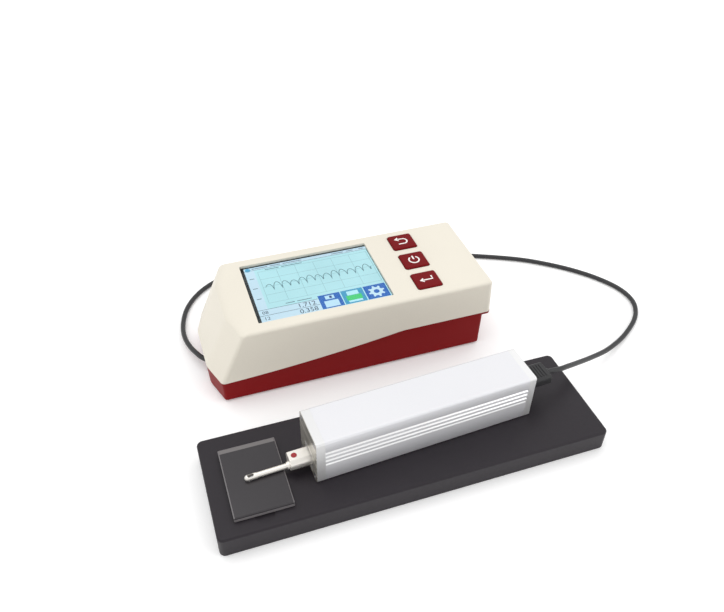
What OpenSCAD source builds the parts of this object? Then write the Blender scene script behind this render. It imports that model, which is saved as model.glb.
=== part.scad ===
// Split surface roughness tester: a display unit with three keys, and a traverse drive that carries
// the pickup over a specimen tile on a stand plate, joined by one signal cable.
// Millimetres, +Z up, standing on Z = 0, with the origin under the middle of plate and unit.

/* [Stand plate] */
// Length of the stand plate
plate_l = 198; // [180:1:230]
// Width of the stand plate
plate_w = 59; // [52:1:80]
// Thickness of the stand plate
plate_h = 12; // [8:0.5:18]
// Radius of the plate's upright corners
plate_corner = 3; // [2:0.5:8]
// Rounding of the plate's top edge
plate_edge = 1.2; // [0.4:0.2:1.8]

/* [Specimen tile] */
// Length of the tile along the plate
tile_l = 28; // [22:1:34]
// Width of the tile across the plate
tile_w = 40; // [30:1:44]
// Thickness of the tile
tile_t = 3.4; // [2.4:0.2:6]
// Depth of the seat cut for the tile
tile_seat = 0.6; // [0.4:0.1:1.4]
// Gap round the tile in its seat
tile_gap = 0.15; // [0.05:0.05:0.4]
// Distance from the plate's left end to the tile
tile_margin = 9; // [5:1:14]
// Offset of the tile from the plate's middle line
tile_shift = -1.8; // [-4:0.2:4]
// Bevel of the tile's edges
tile_bevel = 0.5; // [0.2:0.1:0.8]
// Diameter of the finger notch at the tile's front edge
notch_d = 9; // [6:0.5:12]

/* [Drive housing] */
// Distance from a guide rod's axis to the side of the drive
rod_margin = 5.1; // [4.8:0.1:7]
// Room behind the motor for the cable socket and the rear cap
rear_room = 9.5; // [9:0.5:20]
// Turn of the drive on the plate, in degrees
drive_turn = 3.2; // [0:0.2:6]
// Offset of the drive's front end from the plate's middle line
drive_shift = -1.6; // [-4:0.2:4]
// Distance from the tile to the drive's front face
drive_stand = 12.3; // [12:0.1:15]
// Thickness of the front cap
front_cap_t = 4.6; // [3.6:0.1:6]
// Thickness of the rear cap
rear_cap_t = 3.6; // [3:0.1:5]
// Wall of the extruded housing
drive_wall = 1.6; // [1.2:0.1:2]
// Radius of the housing's long edges
drive_corner = 1.2; // [0.6:0.1:2]
// Number of grooves on each side
groove_n = 4; // [2:1:5]
// Pitch of the side grooves
groove_pitch = 2.7; // [2.2:0.1:3.2]
// Distance from the top of the housing to the first groove
groove_top = 7.4; // [4:0.1:9]
// Width of a side groove
groove_w = 1.3; // [0.6:0.1:1.6]
// Depth of a side groove
groove_d = 0.9; // [0.3:0.1:0.9]
// Outer diameter of the screw channels in the housing's corners
channel_d = 4.4; // [3.6:0.1:5]
// Distance of the screw channels from the outer faces
channel_in = 2.4; // [2.2:0.1:2.8]
// Diameter of the cap screws
cap_screw_d = 2; // [1.6:0.1:2.4]
// Length of the cap screws
cap_screw_l = 10; // [7:0.5:14]
// Diameter of the cap screw heads
cap_head_d = 3.6; // [3:0.1:4]
// Height of the cap screw heads
cap_head_h = 1.8; // [1.2:0.1:2.2]
// Room round the pickup in the front cap's port
port_gap = 0.7; // [0.5:0.1:1]
// Step of the rebate round the port
port_step = 0.8; // [0.4:0.1:1]

/* [Traverse] */
// Stroke of the carriage
traverse = 17.5; // [12:0.5:18.5]
// Distance from the housing's top to the lead screw's axis
screw_drop = 10; // [9.6:0.1:13]
// Height of the lead screw's axis over the pickup's axis
screw_rise = 9.85; // [9.6:0.05:12]
// Diameter of the lead screw
screw_d = 4; // [3:0.1:4.4]
// Outer diameter of the lead screw's bearings
bearing_d = 7; // [6:0.1:7.4]
// Diameter of the guide rods
rod_d = 3; // [2:0.1:3.2]
// Outer diameter of the carriage's slide bushes
bush_d = 5; // [4.4:0.1:5.2]
// Diameter of the nut in the carriage
nut_d = 6; // [5.6:0.1:6.6]
// Web of the carriage between its nut and a bush
carriage_web = 0.9; // [0.6:0.1:2]
// Length of the carriage along the rods
carriage_l = 14; // [10:0.5:15]
// Height of the carriage block
carriage_h = 6.8; // [6:0.1:7]
// Distance from the front face to the carriage at the start of its stroke
carriage_x = 20; // [19.8:0.1:21]
// Thickness of the chassis bearing blocks
block_t = 5; // [3:0.5:6]
// Thickness of the chassis top rail
rail_t = 2; // [1.4:0.1:2.2]
// Room behind the carriage at the end of its stroke
stop_room = 9; // [7.6:0.2:10]
// Side of a limit switch across the drive
trip_w = 6; // [4:0.5:7]
// Length of a limit switch
trip_l = 6.6; // [5:0.1:7]
// Diameter of the gear motor
motor_d = 12; // [10:0.1:12.2]
// Length of the gear motor
motor_l = 28; // [22:1:29]
// Diameter of the motor shaft
shaft_d = 3; // [2:0.1:3.2]
// Diameter of the motor coupling
coupling_d = 8; // [7:0.1:9]
// Length of the motor coupling
coupling_l = 10; // [8:0.5:11]
// Radial clearance of a running fit
run_gap = 0.03; // [0.02:0.01:0.08]
// Radial clearance of a fixed fit
fit_gap = 0.05; // [0.03:0.01:0.1]

/* [Pickup] */
// Diameter of the pickup's body
pickup_d = 8.8; // [8.6:0.1:9]
// Length of the pickup's body in front of the drive
pickup_out = 10; // [9.6:0.1:11.4]
// Length of the pickup's body inside the drive
pickup_in = 12; // [11:0.1:12.2]
// Height of the body's top flat above its axis
pickup_flat = 3.5; // [3:0.05:3.8]
// Drop of the stylus tube below the body's axis
tube_drop = 2.7; // [2.4:0.05:2.75]
// Outer diameter of the stylus tube
tube_d = 2.6; // [2.4:0.05:2.8]
// Bore of the stylus tube
tube_bore = 1.8; // [1.6:0.05:2]
// Length of the stylus tube in front of the body
tube_l = 21.5; // [18:0.5:26]
// Diameter of the tube's skid nose
nose_d = 2.9; // [2.8:0.05:3.2]
// Length of the tube's skid nose
nose_l = 6; // [5:0.2:8]
// Diameter of the collar where the tube leaves the body
collar_d = 3.8; // [3.4:0.1:4]
// Length of the collar
collar_l = 1; // [0.6:0.1:1.2]
// Diameter of the mark that shows the pickup's top side
mark_d = 2.8; // [2:0.1:3.4]
// Diameter of the stylus lever
lever_d = 0.8; // [0.6:0.05:0.9]
// Diameter of the stylus lever's pivot pin
pin_d = 0.7; // [0.5:0.05:0.8]
// Height of the skid nose over the tile
skid_gap = 0.2; // [0.15:0.05:0.4]
// Diameter of the socket that holds the pickup
socket_d = 8; // [7.8:0.1:8.4]
// Diameter of the pickup's rear spigot
spigot_d = 5; // [4:0.1:5.4]
// Length of the pickup's rear spigot
spigot_l = 6; // [4:0.5:7]
// Distance from the nose's end back to the stylus
stylus_in = 3; // [2.6:0.1:4]
// Distance from the body's front face to the lever's pivot
hub_x = 5; // [4:0.1:6]
// Diameter of the lever's hub
hub_d = 1.7; // [1.4:0.1:1.8]
// Width of the lever's hub
hub_w = 1.6; // [1.2:0.1:2]
// Length of the lever's pivot pin
pin_l = 4.8; // [4:0.1:5]
// Length of the pocket round the lever's hub
pocket_l = 2.8; // [2.4:0.1:3.2]

/* [Display unit] */
// Height of the display unit on its feet
unit_h = 46; // [44:0.5:54]
// Gap between the stand plate and the display unit
unit_gap = 31; // [20:1:60]
// Offset of the display unit along the plate
unit_shift = -4.5; // [-12:0.5:12]
// Height of the parting line at the nose
part_nose = 14.4; // [13.4:0.1:15.6]
// Height of the parting line at the right end
part_level = 24.5; // [20:0.5:26]
// Length of the level stretch of the parting line
level_l = 54; // [40:1:70]
// How far the nose's middle stands in front of its side corners
nose_point = 5.5; // [3:0.5:8]
// Width of the nose's flat end
nose_w = 30; // [26:1:36]
// How far the nose leans back at its sides
side_lean = 14; // [11:0.5:15]
// How far the nose leans back at its middle
mid_lean = 14; // [12:0.5:15]
// Extra softness of the edge between the nose and the top
nose_soft = 3; // [2:0.5:5]
// How far the right end leans in at the top
end_lean = 1.2; // [0:0.1:2]
// Wall of both shells
shell_wall = 2.2; // [1.8:0.1:2.4]
// Rounding of the top edge
shell_edge = 2; // [1.5:0.1:3.4]
// Radius of the right end's upright corners
end_corner = 2.5; // [2.5:0.5:8]
// Radius of the nose's side corners
side_corner = 2.6; // [2.5:0.1:5]
// Radius of the nose's middle corners
mid_corner = 14; // [8:1:18]
// Step of the red base under the right end
base_end = 4; // [2:0.5:6]
// Step of the red base along its sides
base_step = 0.4; // [0.4:0.1:1]
// Draft of the red base down to its floor
base_draft = 0.4; // [0.2:0.1:1.2]
// Rounding of the red base's bottom edge
base_edge = 1.2; // [1:0.1:3.4]
// Thickness of the red lip under the upper shell
lip_t = 1.5; // [1:0.1:2]
// Step of the red lip behind the upper shell's face
lip_step = 0.2; // [0.1:0.1:0.3]
// Height of the rubber feet below the base
foot_h = 0.8; // [0.5:0.1:1.2]
// Diameter of the rubber feet
foot_d = 9; // [6:0.5:10]
// Depth of the seats of the rubber feet
foot_seat = 1; // [0.6:0.1:1.2]
// Diameter of the shell screws
case_screw_d = 2.8; // [2.4:0.1:3]
// Diameter of the shell screw heads
case_head_d = 5; // [4.4:0.1:5.2]
// Outer diameter of the upper shell's screw posts
post_d = 6.4; // [6:0.1:6.8]
// Distance from the right end to the screw posts
post_end = 12.5; // [11:0.5:16]
// Distance from the sides to the screw posts and the feet
post_side = 10.5; // [9:0.5:12]
// Depth of the seats of the shell screw heads
head_sink = 3; // [2.4:0.1:3.4]
// Height of the shell screw heads
case_head_h = 2; // [1.6:0.1:2.4]
// Length of the shell screws in the upper shell's posts
screw_bite = 10; // [6:0.5:12]
// Distance from the nose to the front feet
foot_nose = 37; // [34:1:44]
// Distance from the right end to the rear feet
foot_end = 25; // [22:1:32]

/* [Screen] */
// Length of the screen window
window_l = 74.4; // [64:0.2:90]
// Width of the screen window
window_w = 49.8; // [44:0.2:60]
// Distance from the nose to the window
screen_nose = 29; // [28.6:0.1:34]
// Distance from the window to the unit's sides
screen_side = 6.6; // [6.4:0.1:10]
// Depth of the screen glass below the top
screen_sink = 1; // [0.6:0.1:1.2]
// Thickness of the screen glass
glass_t = 1.2; // [0.8:0.1:1.4]
// Lap of the glass under the window's rim
glass_lap = 2.2; // [1.4:0.1:2.4]
// Thickness of the display panel
panel_t = 3; // [2.4:0.1:3.6]
// Wall of the display carrier
carrier_wall = 1.2; // [0.8:0.1:1.4]

/* [Keys] */
// Length of a key along the unit
key_l = 14.5; // [12:0.1:15]
// Width of a key across the unit
key_w = 13.6; // [11:0.1:14]
// Pitch of the three keys
key_pitch = 18.7; // [18:0.1:19]
// Distance from the window to the keys' middle
key_room = 21.4; // [21:0.1:26]
// Distance from the keys' middle to the right end
key_end = 36.2; // [35:0.1:44]
// Height of a key above the top
key_proud = 1; // [0.9:0.1:2]
// Travel of a key
key_travel = 0.8; // [0.4:0.1:0.9]
// Gap round a key
key_gap = 0.25; // [0.15:0.05:0.4]
// Radius of a key's corners
key_corner = 1.4; // [1:0.1:3]
// Width of a key's holding flange
flange_w = 1; // [0.6:0.1:1.2]
// Thickness of a key's holding flange
flange_t = 1.2; // [0.8:0.1:1.4]
// Rounding of a key's top edge
key_edge = 0.8; // [0.4:0.1:1]
// Diameter of a key's stem
stem_d = 4; // [3:0.1:5]

/* [Electronics] */
// Distance from the unit's top to the main board
board_drop = 10; // [9.6:0.1:11]
// Thickness of the main board
board_t = 1.6; // [1:0.1:2]
// Diameter of the board screws
board_screw_d = 1.8; // [1.6:0.1:2]
// Outer diameter of the board's screw posts
board_post_d = 5; // [4.4:0.1:5.2]
// Distance of the board's screw posts from the unit's middle line
board_post_y = 22.4; // [20:0.1:23]
// Length of the board screws above the board
board_bite = 5; // [3:0.1:5.4]
// Distance from the right end to the wide part of the board
board_end = 20.5; // [20:0.5:26]
// Width of the board's tail
tail_w = 28; // [20:1:32]
// Side of a key switch
switch_w = 6; // [5:0.1:7]
// Height of a key switch
switch_h = 3.5; // [3:0.1:3.6]
// Diameter of a key switch's plunger
plunger_d = 3.4; // [2.6:0.1:4]
// Height of a key switch's plunger
plunger_h = 0.7; // [0.5:0.1:0.8]
// Length of the battery pack
battery_l = 56; // [40:1:56]
// Width of the battery pack
battery_w = 32; // [26:1:34]
// Height of the battery pack
battery_h = 12; // [8:0.5:14]
// Radius of the battery pack's corners
battery_corner = 3; // [1:0.5:6]
// Width of the charge socket
charge_w = 9; // [8:0.1:10]
// Height of the charge socket
charge_h = 3.2; // [2.8:0.1:3.6]
// Length of the charge socket
charge_l = 7.6; // [6:0.1:8]
// Thickness of the drive's circuit board
drive_board_t = 1.6; // [1:0.1:1.8]
// Height of the drive's circuit board over the housing's bottom
drive_board_z = 7; // [6.8:0.1:7.2]
// Pitch of the chips on the drive's board
chip_pitch = 16; // [12:1:20]
// Length of a chip
chip_l = 8; // [6:0.5:10]
// Width of a chip
chip_w = 7; // [5:0.5:9]
// Height of a chip
chip_h = 1.2; // [0.8:0.1:1.4]

/* [Cable] */
// Diameter of the signal cable
cable_d = 2.8; // [2.4:0.1:3]
// Length of a plug's grip
plug_l = 14.5; // [11:0.5:15]
// Width of a plug's grip
plug_w = 12; // [9:0.2:12.4]
// Height of a plug's grip
plug_h = 5.6; // [5:0.1:6]
// Length of a plug's strain relief
relief_l = 1.5; // [1.5:0.5:4]
// Height of the drive's socket over the plate
rear_socket_z = 14.6; // [14:0.1:16]
// Depth of the cable bay in the nose
bay_depth = 29.5; // [28:0.5:31]
// Height of the cable bay
bay_h = 8.2; // [7.4:0.1:8.4]
// Room beside the plug in the cable bay
bay_room = 4.8; // [3:0.1:6]
// Wall round the cable bay
bay_wall = 1.6; // [1.2:0.1:2]
// Length of a cable socket
socket_l = 7; // [6:0.1:8]

/* [Hidden] */
$fn = 48;
// Overrun of a cut past the face it leaves
cut = 1;
// Overlap of two forms that make one piece
sink = 0.2;
// Gaps beside a board, a chassis wall and the carriage, and at the ends of shafts and stops
side_gap = 0.3;
carriage_gap = 0.5;
shaft_gap = 0.2;
end_gap = 0.4;
coupling_gap = 0.5;
motor_gap = 1.5;
post_gap = 0.4;

// Places of the plate, the tile, the drive and the unit
unit_l = screen_nose + window_l + key_room + key_end;
unit_w = window_w + 2 * screen_side;
depth = plate_w + unit_gap + unit_w;
plate_y = (plate_w - depth) / 2;
unit_y = (depth - unit_w) / 2;
tile_x = tile_margin + (tile_l - plate_l) / 2;
drive_x = tile_x + tile_l / 2 + drive_stand;
// Height of the tile's top over the plate, where the drive also stands
tile_top = tile_t - tile_seat;

// Heights and lengths in the drive, from its front face and from the plate's top
tube_z = tile_top + skid_gap + nose_d / 2;
pickup_z = tube_z + tube_drop;
screw_z = pickup_z + screw_rise;
drive_h = screw_z + screw_drop;
rod_span = nut_d + bush_d + 2 * carriage_web;
drive_w = rod_span + 2 * rod_margin;
rail_top = drive_h - drive_wall - fit_gap;
rail_z = rail_top - rail_t;
rear_block_x = carriage_x + carriage_l + traverse + stop_room;
coupling_x = rear_block_x + block_t + coupling_gap;
motor_x = coupling_x + coupling_l + motor_gap;
drive_l = motor_x + motor_l + rear_room;
shaft_joint_x = coupling_x + coupling_l / 2;
channel_y = drive_w / 2 - channel_in;
inner_y = drive_w / 2 - drive_wall;
port_w = pickup_d + 2 * port_gap;
tab_l = 2;
tab_w = 3;
tab_h = 1.8;
shaft_in = block_t + 1.6;
hub_gap = 0.2;
hub_lift = 0.15;
pin_gap = 0.1;
slot_l = 1.4;
stylus_x = stylus_in - tube_l;
tip_h = 0.6;
tip_gap = 0.25;
tile_z = -nose_d / 2 - skid_gap;
socket_x = pickup_in + side_gap;
drive_board_x = carriage_x + carriage_l + traverse - 1;
drive_board_end = 2;

// Heights and lengths in the display unit, from its middle and from the table
half_l = unit_l / 2;
half_w = unit_w / 2;
top_in = unit_h - shell_wall;
floor_top = foot_h + shell_wall;
glass_top = unit_h - screen_sink;
panel_top = glass_top - glass_t;
glass_l = window_l + 2 * glass_lap;
glass_w = window_w + 2 * glass_lap;
screen_x = screen_nose + window_l / 2 - half_l;
carrier_l = glass_l + 2 * carrier_wall + 4 * fit_gap;
carrier_w = glass_w + 2 * carrier_wall + 4 * fit_gap;
carrier_lap = 4;
key_x = half_l - key_end;
board_top = unit_h - board_drop;
board_z = board_top - board_t;
flange_top = top_in - side_gap;
stem_gap = 0.1;
stem_z = board_top + switch_h + plunger_h + key_travel + stem_gap;
post_z = floor_top + head_sink;
bay_y = -3;
bay_w = plug_w + bay_room;
bay_z = foot_h + 2;
bay_x = bay_depth - half_l;
plug_y = bay_y - 1.2;
plug_z = bay_z + bay_h / 2;
socket_w = plug_w + 2;
socket_h = plug_h + 1.4;
socket_back = 1.4;
tongue_w = plug_w - 2.4;
tongue_h = plug_h - 2.6;
tongue_l = socket_l - socket_back - end_gap;
tongue_gap = 0.2;
// Rounding inside a shell's edge, and the reach of a cutter past the unit
inner_edge = 1;
reach = 5;
// Screw posts and feet of the unit, and screw posts of its board
post_x = screen_x - carrier_l / 2 - post_gap - post_d / 2;
case_posts = [for (x = [post_x, half_l - post_end], side = [-1, 1]) [x, side * (half_w - post_side)]];
feet = [for (x = [foot_nose - half_l, half_l - foot_end], side = [-1, 1]) [x, side * (half_w - post_side)]];
flange_x = key_l / 2 + flange_w;
// The inner posts stand midway between the carrier and the keys, the outer ones behind the keys
board_post_xs = [
    (screen_x + carrier_l / 2 + key_x - flange_x) / 2,
    key_x + flange_x + 2 * post_gap + board_post_d / 2];
board_posts = [for (x = board_post_xs, side = [-1, 1]) [x, side * board_post_y]];

// Free course of the cable, from the plug in the unit's nose round to the drive's plug
cable_course = [[-78.5, 40.8, 7], [-82.5, 42, 7], [-85.8, 45.4, 7], [-88.4, 51, 6.4],
    [-90.6, 57.6, 5.4], [-92.2, 66, 4.2], [-92.4, 75, 3], [-91.2, 84, 2], [-88.6, 93, 1.6],
    [-85, 100.2, 1.5], [-80.4, 106.4, 1.5], [-74.6, 112, 1.5], [-66, 117.4, 1.5], [-54, 121.4, 1.5],
    [-40, 123.6, 1.5], [-24, 124, 1.5], [-6, 122.8, 1.5], [12, 120.2, 1.5], [30, 116.6, 1.5],
    [50, 111.4, 1.5], [70, 105.2, 1.5], [88, 98.6, 1.5], [105, 91.2, 1.5], [121, 84, 1.5],
    [135, 76.6, 1.5], [147, 68.2, 1.5], [157.5, 59.4, 1.5], [166.4, 50.2, 1.5], [173, 41.4, 1.5],
    [177.8, 32.6, 1.5], [180, 24, 1.5], [179.4, 15.6, 1.5], [175.6, 7.8, 1.5], [170, 1.4, 1.5],
    [161.5, -5.2, 1.6], [151, -11.8, 2.4], [136, -19.6, 5.6], [120, -26.8, 11.4], [103.5, -34.4, 19],
    [95.5, -38, 22.8], [90, -40.2, 25]];
cable_sides = 8;
// Straight lead of the cable behind the drive's plug, and its fall there
lead_l = 4;
lead_drop = 0.4;

// Placement of the two groups
module at_drive() translate([drive_x, plate_y + drive_shift, plate_h])
    rotate([0, 0, drive_turn]) children();
module at_unit() translate([unit_shift, unit_y, 0]) children();

// A point given in the drive's own frame, in the frame of the part
function drive_point(p) = [
    drive_x + p.x * cos(drive_turn) - p.y * sin(drive_turn),
    plate_y + drive_shift + p.x * sin(drive_turn) + p.y * cos(drive_turn),
    plate_h + p.z];

// Section in Y and Z drawn along X
module along_x(length) rotate([90, 0, 90]) linear_extrude(height = length) children();
// Rod along X
module rod_x(d, length) rotate([0, 90, 0]) cylinder(d = d, h = length);

module rounded_rect(l, w, r) {
    square([l - 2 * r, w], center = true);
    square([l, w - 2 * r], center = true);
    for (sx = [-1, 1], sy = [-1, 1]) translate([sx * (l / 2 - r), sy * (w / 2 - r)])
        circle(r = r, $fn = 32);
}

module rounded_slab(l, w, h, r) linear_extrude(height = h) rounded_rect(l, w, r);

// Block with round corners and a rounded top edge
module soft_block(l, w, h, r, edge) hull() {
    rounded_slab(l, w, h - edge, r);
    for (a = [30, 60, 90]) {
        inset = edge * (1 - cos(a));
        rounded_slab(l - 2 * inset, w - 2 * inset, h - edge + edge * sin(a), r - inset);
    }
}

// Outward normal of one side of a counter-clockwise outline
function side_normal(pts, i) = let (d = pts[(i + 1) % len(pts)] - pts[i]) [d.y, -d.x] / norm(d);

// Round corner of an outline that is set in by a distance
function corner_arc(pts, i, r, inset, steps) = let (
    a = side_normal(pts, (i + len(pts) - 1) % len(pts)),
    b = side_normal(pts, i),
    rr = max(r - inset, 0.3),
    c = pts[i] - (inset + rr) * (a + b) / (1 + a * b),
    start = atan2(a.y, a.x),
    turn = acos(a * b))
    [for (k = [0 : steps]) c + rr * [cos(start + turn * k / steps), sin(start + turn * k / steps)]];

function outline(pts, radii, inset) =
    [for (i = [0 : len(pts) - 1]) each corner_arc(pts, i, radii[i], inset, 5)];

function ring(pts, radii, inset, z) = [for (p = outline(pts, radii, inset)) [p.x, p.y, z]];

// Solid through a stack of rings with equal numbers of points, from the bottom up
module loft(rings) {
    n = len(rings[0]);
    top = (len(rings) - 1) * n;
    sides = [for (j = [0 : len(rings) - 2], i = [0 : n - 1]) let (k = (i + 1) % n)
        each [[j * n + i, j * n + n + i, j * n + n + k], [j * n + i, j * n + n + k, j * n + k]]];
    polyhedron(points = [for (r = rings) each r],
        faces = concat([[for (i = [0 : n - 1]) i]], sides, [[for (i = [n - 1 : -1 : 0]) top + i]]));
}

// Corners of the unit's outline: right end, then round the nose; t runs from the nose's height to the top
function shell_corners(t, soft) = [
    [half_l - t * end_lean, -half_w],
    [half_l - t * end_lean, half_w],
    [nose_point - half_l + t * side_lean + soft, half_w],
    [t * mid_lean + soft - half_l, nose_w / 2],
    [t * mid_lean + soft - half_l, -nose_w / 2],
    [nose_point - half_l + t * side_lean + soft, -half_w]];
shell_radii = [end_corner, end_corner, side_corner, mid_corner, mid_corner, side_corner];

function lean_at(z) = (z - part_nose) / (unit_h - part_nose);

// Upper form of the unit, set in by a wall and ending at a given top with a rounded edge
module shell_form(inset, top, edge) {
    low = part_nose - 3;
    upright = [for (i = [0 : 4]) let (z = low + (top - edge - low) * i / 4)
        ring(shell_corners(lean_at(z), 0), shell_radii, inset, z)];
    rounding = [for (a = [22.5 : 22.5 : 90]) let (z = top - edge + edge * sin(a), bend = 1 - cos(a))
        ring(shell_corners(lean_at(z), nose_soft * bend), shell_radii, inset + edge * bend, z)];
    loft(concat(upright, rounding));
}

base_corners = [
    [half_l - base_end, -half_w],
    [half_l - base_end, half_w],
    [nose_point - half_l, half_w],
    [-half_l, nose_w / 2],
    [-half_l, -nose_w / 2],
    [nose_point - half_l, -half_w]];

// Lower form of the unit, set in by a wall and starting at a given floor with a rounded edge
module base_form(inset, bottom, edge) {
    rounding = [for (a = [90 : -30 : 30])
        ring(base_corners, shell_radii, inset + base_step + base_draft + edge * (1 - cos(a)),
            bottom + edge * (1 - sin(a)))];
    upright = [for (t = [0, 1])
        ring(base_corners, shell_radii, inset + base_step + base_draft * (1 - t),
            bottom + edge + (part_level + cut - bottom - edge) * t)];
    loft(concat(rounding, upright));
}

module lip_form() loft([for (z = [part_nose - lip_t - cut, part_level + cut])
    ring(shell_corners(0, 0), shell_radii, lip_step, z)]);

// Height of the parting line: a ramp that steepens from the nose, then a level stretch
function parting_z(x) = let (u = min(max((x + half_l) / (unit_l - level_l), 0), 1))
    part_nose + (part_level - part_nose) * (0.3 * u + 0.7 * u * u);

// Everything on one side of the parting line, which may be lowered
module parting_side(limit_z, drop) {
    ramp_end = half_l - level_l;
    ramp = [for (k = [0 : 16]) -half_l + (ramp_end + half_l) * k / 16];
    xs = concat([-half_l - reach], ramp, [half_l + reach]);
    line = [for (x = xs) [x, parting_z(x) - drop]];
    rotate([90, 0, 0]) linear_extrude(height = unit_w + 2 * reach, center = true)
        polygon(concat(line, [[half_l + reach, limit_z], [-half_l - reach, limit_z]]));
}

module base_plate() color([0.22, 0.21, 0.23]) difference() {
    translate([0, plate_y, 0]) soft_block(plate_l, plate_w, plate_h, plate_corner, plate_edge);
    translate([tile_x, plate_y + tile_shift, plate_h - tile_seat]) {
        linear_extrude(height = tile_seat + cut)
            square([tile_l + 2 * tile_gap, tile_w + 2 * tile_gap], center = true);
        translate([0, -tile_w / 2, 0]) cylinder(d = notch_d, h = tile_seat + cut);
    }
}

module specimen_tile() color([0.42, 0.43, 0.44])
    translate([tile_x, plate_y + tile_shift, plate_h - tile_seat])
    hull() {
        linear_extrude(height = tile_t)
            square([tile_l - 2 * tile_bevel, tile_w - 2 * tile_bevel], center = true);
        translate([0, 0, tile_bevel]) linear_extrude(height = tile_t - 2 * tile_bevel)
            square([tile_l, tile_w], center = true);
    }

// Places of the four screw channels in the housing's section
channels = [for (side = [-1, 1], z = [channel_in, drive_h - channel_in]) [side * channel_y, z]];
rib_t = 1.1;
rib_w = 1.3;
slot_gap = 0.1;

module housing_section() difference() {
    translate([0, drive_h / 2]) rounded_rect(drive_w, drive_h, drive_corner);
    difference() {
        translate([-inner_y, drive_wall]) square([2 * inner_y, drive_h - 2 * drive_wall]);
        for (p = channels) translate(p) circle(d = channel_d);
        for (side = [-1, 1], z = [drive_board_z - slot_gap - rib_t, drive_board_z + drive_board_t + slot_gap])
            translate([side * (inner_y - rib_w / 2), z + rib_t / 2])
                square([rib_w + sink, rib_t], center = true);
    }
    for (p = channels) translate(p) circle(d = cap_screw_d + 2 * fit_gap);
    for (side = [-1, 1], i = [0 : groove_n - 1])
        translate([side * drive_w / 2, drive_h - groove_top - i * groove_pitch])
            square([2 * groove_d, groove_w], center = true);
}

module drive_housing() color([0.78, 0.78, 0.79]) at_drive() translate([front_cap_t, 0, 0])
    along_x(drive_l - front_cap_t - rear_cap_t) housing_section();

// End cap with four counterbored screw holes, its outer face at X = 0
module cap_blank(t) difference() {
    along_x(t) translate([0, drive_h / 2]) rounded_rect(drive_w, drive_h, drive_corner);
    for (p = channels) translate([-cut, p.x, p.y]) {
        rod_x(cap_screw_d + 4 * fit_gap, t + 2 * cut);
        rod_x(cap_head_d + 4 * fit_gap, cut + cap_head_h);
    }
}

module drive_front_cap() color([0.84, 0.84, 0.85]) at_drive() difference() {
    cap_blank(front_cap_t);
    translate([-cut, -port_w / 2, pickup_z - port_w / 2]) cube([front_cap_t + 2 * cut, port_w, port_w]);
    translate([-cut, -port_w / 2 - port_step, pickup_z - port_w / 2 - port_step])
        cube([cut + port_step, port_w + 2 * port_step, port_w + 2 * port_step]);
}

module drive_rear_cap() color([0.84, 0.84, 0.85]) at_drive() difference() {
    translate([drive_l, 0, 0]) rotate([0, 0, 180]) cap_blank(rear_cap_t);
    translate([drive_l - rear_cap_t - cut, 0, rear_socket_z]) along_x(rear_cap_t + 2 * cut)
        square([socket_w + 2 * fit_gap, socket_h + 2 * fit_gap], center = true);
}

// Socket head screw along X, its head's outer face at X = 0
module cap_screw() difference() {
    union() {
        rod_x(cap_head_d, cap_head_h);
        rod_x(cap_screw_d, cap_screw_l);
    }
    translate([-cut, 0, 0]) rotate([0, 90, 0])
        cylinder(d = cap_head_d * 0.45, h = cut + cap_head_h * 0.6, $fn = 6);
}

module front_cap_screws() color([0.6, 0.6, 0.62]) at_drive() for (p = channels)
    translate([0, p.x, p.y]) cap_screw();

module rear_cap_screws() color([0.6, 0.6, 0.62]) at_drive() for (p = channels)
    translate([drive_l, p.x, p.y]) rotate([0, 0, 180]) cap_screw();

// Cross wall of the chassis, relieved round the upper screw channels
module chassis_block(t) {
    half = inner_y - side_gap;
    neck = channel_y - channel_d / 2 - side_gap;
    low = screw_z - carriage_h / 2;
    shoulder = drive_h - channel_in - channel_d / 2 - side_gap;
    along_x(t) polygon([[-half, low], [half, low], [half, shoulder], [neck, shoulder], [neck, rail_top],
        [-neck, rail_top], [-neck, shoulder], [-half, shoulder]]);
}

module chassis() color([0.7, 0.71, 0.73]) at_drive() difference() {
    union() {
        rail_w = 2 * (channel_y - channel_d / 2 - side_gap);
        translate([front_cap_t, -rail_w / 2, rail_z])
            cube([motor_x + block_t - front_cap_t, rail_w, rail_t]);
        for (x = [front_cap_t, rear_block_x, motor_x]) translate([x, 0, 0]) chassis_block(block_t);
    }
    for (side = [-1, 1]) translate([front_cap_t - cut, side * rod_span / 2, screw_z])
        rod_x(rod_d + 2 * fit_gap, rear_block_x + block_t - front_cap_t + 2 * cut);
    translate([front_cap_t - cut, 0, screw_z])
        rod_x(bearing_d + 2 * fit_gap, rear_block_x + block_t - front_cap_t + 2 * cut);
    translate([motor_x - cut, 0, screw_z]) rod_x(motor_d + 2 * fit_gap, block_t + 2 * cut);
}

module guide_rods() color([0.8, 0.8, 0.82]) at_drive() for (side = [-1, 1])
    translate([front_cap_t, side * rod_span / 2, screw_z])
        rod_x(rod_d, rear_block_x + block_t - front_cap_t);

module screw_bearings() color([0.72, 0.55, 0.3]) at_drive() for (x = [front_cap_t, rear_block_x])
    translate([x, 0, screw_z]) difference() {
        rod_x(bearing_d, block_t);
        translate([-cut, 0, 0]) rod_x(screw_d + 2 * run_gap, block_t + 2 * cut);
    }

module gear_motor() color([0.66, 0.66, 0.68]) at_drive() translate([motor_x, 0, screw_z]) difference() {
    rod_x(motor_d, motor_l);
    translate([-cut, 0, 0]) rod_x(shaft_d + 2 * run_gap, cut + shaft_in + end_gap);
}

// The two switches stand just before and just after the carriage's tab over its stroke
module limit_switches() color([0.12, 0.12, 0.13]) at_drive()
    for (x = [carriage_x - end_gap - trip_l, carriage_x + tab_l + traverse + end_gap])
        translate([x, -trip_w / 2, screw_z + carriage_h / 2 + end_gap])
            cube([trip_l, trip_w, rail_z - screw_z - carriage_h / 2 - end_gap]);

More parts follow.
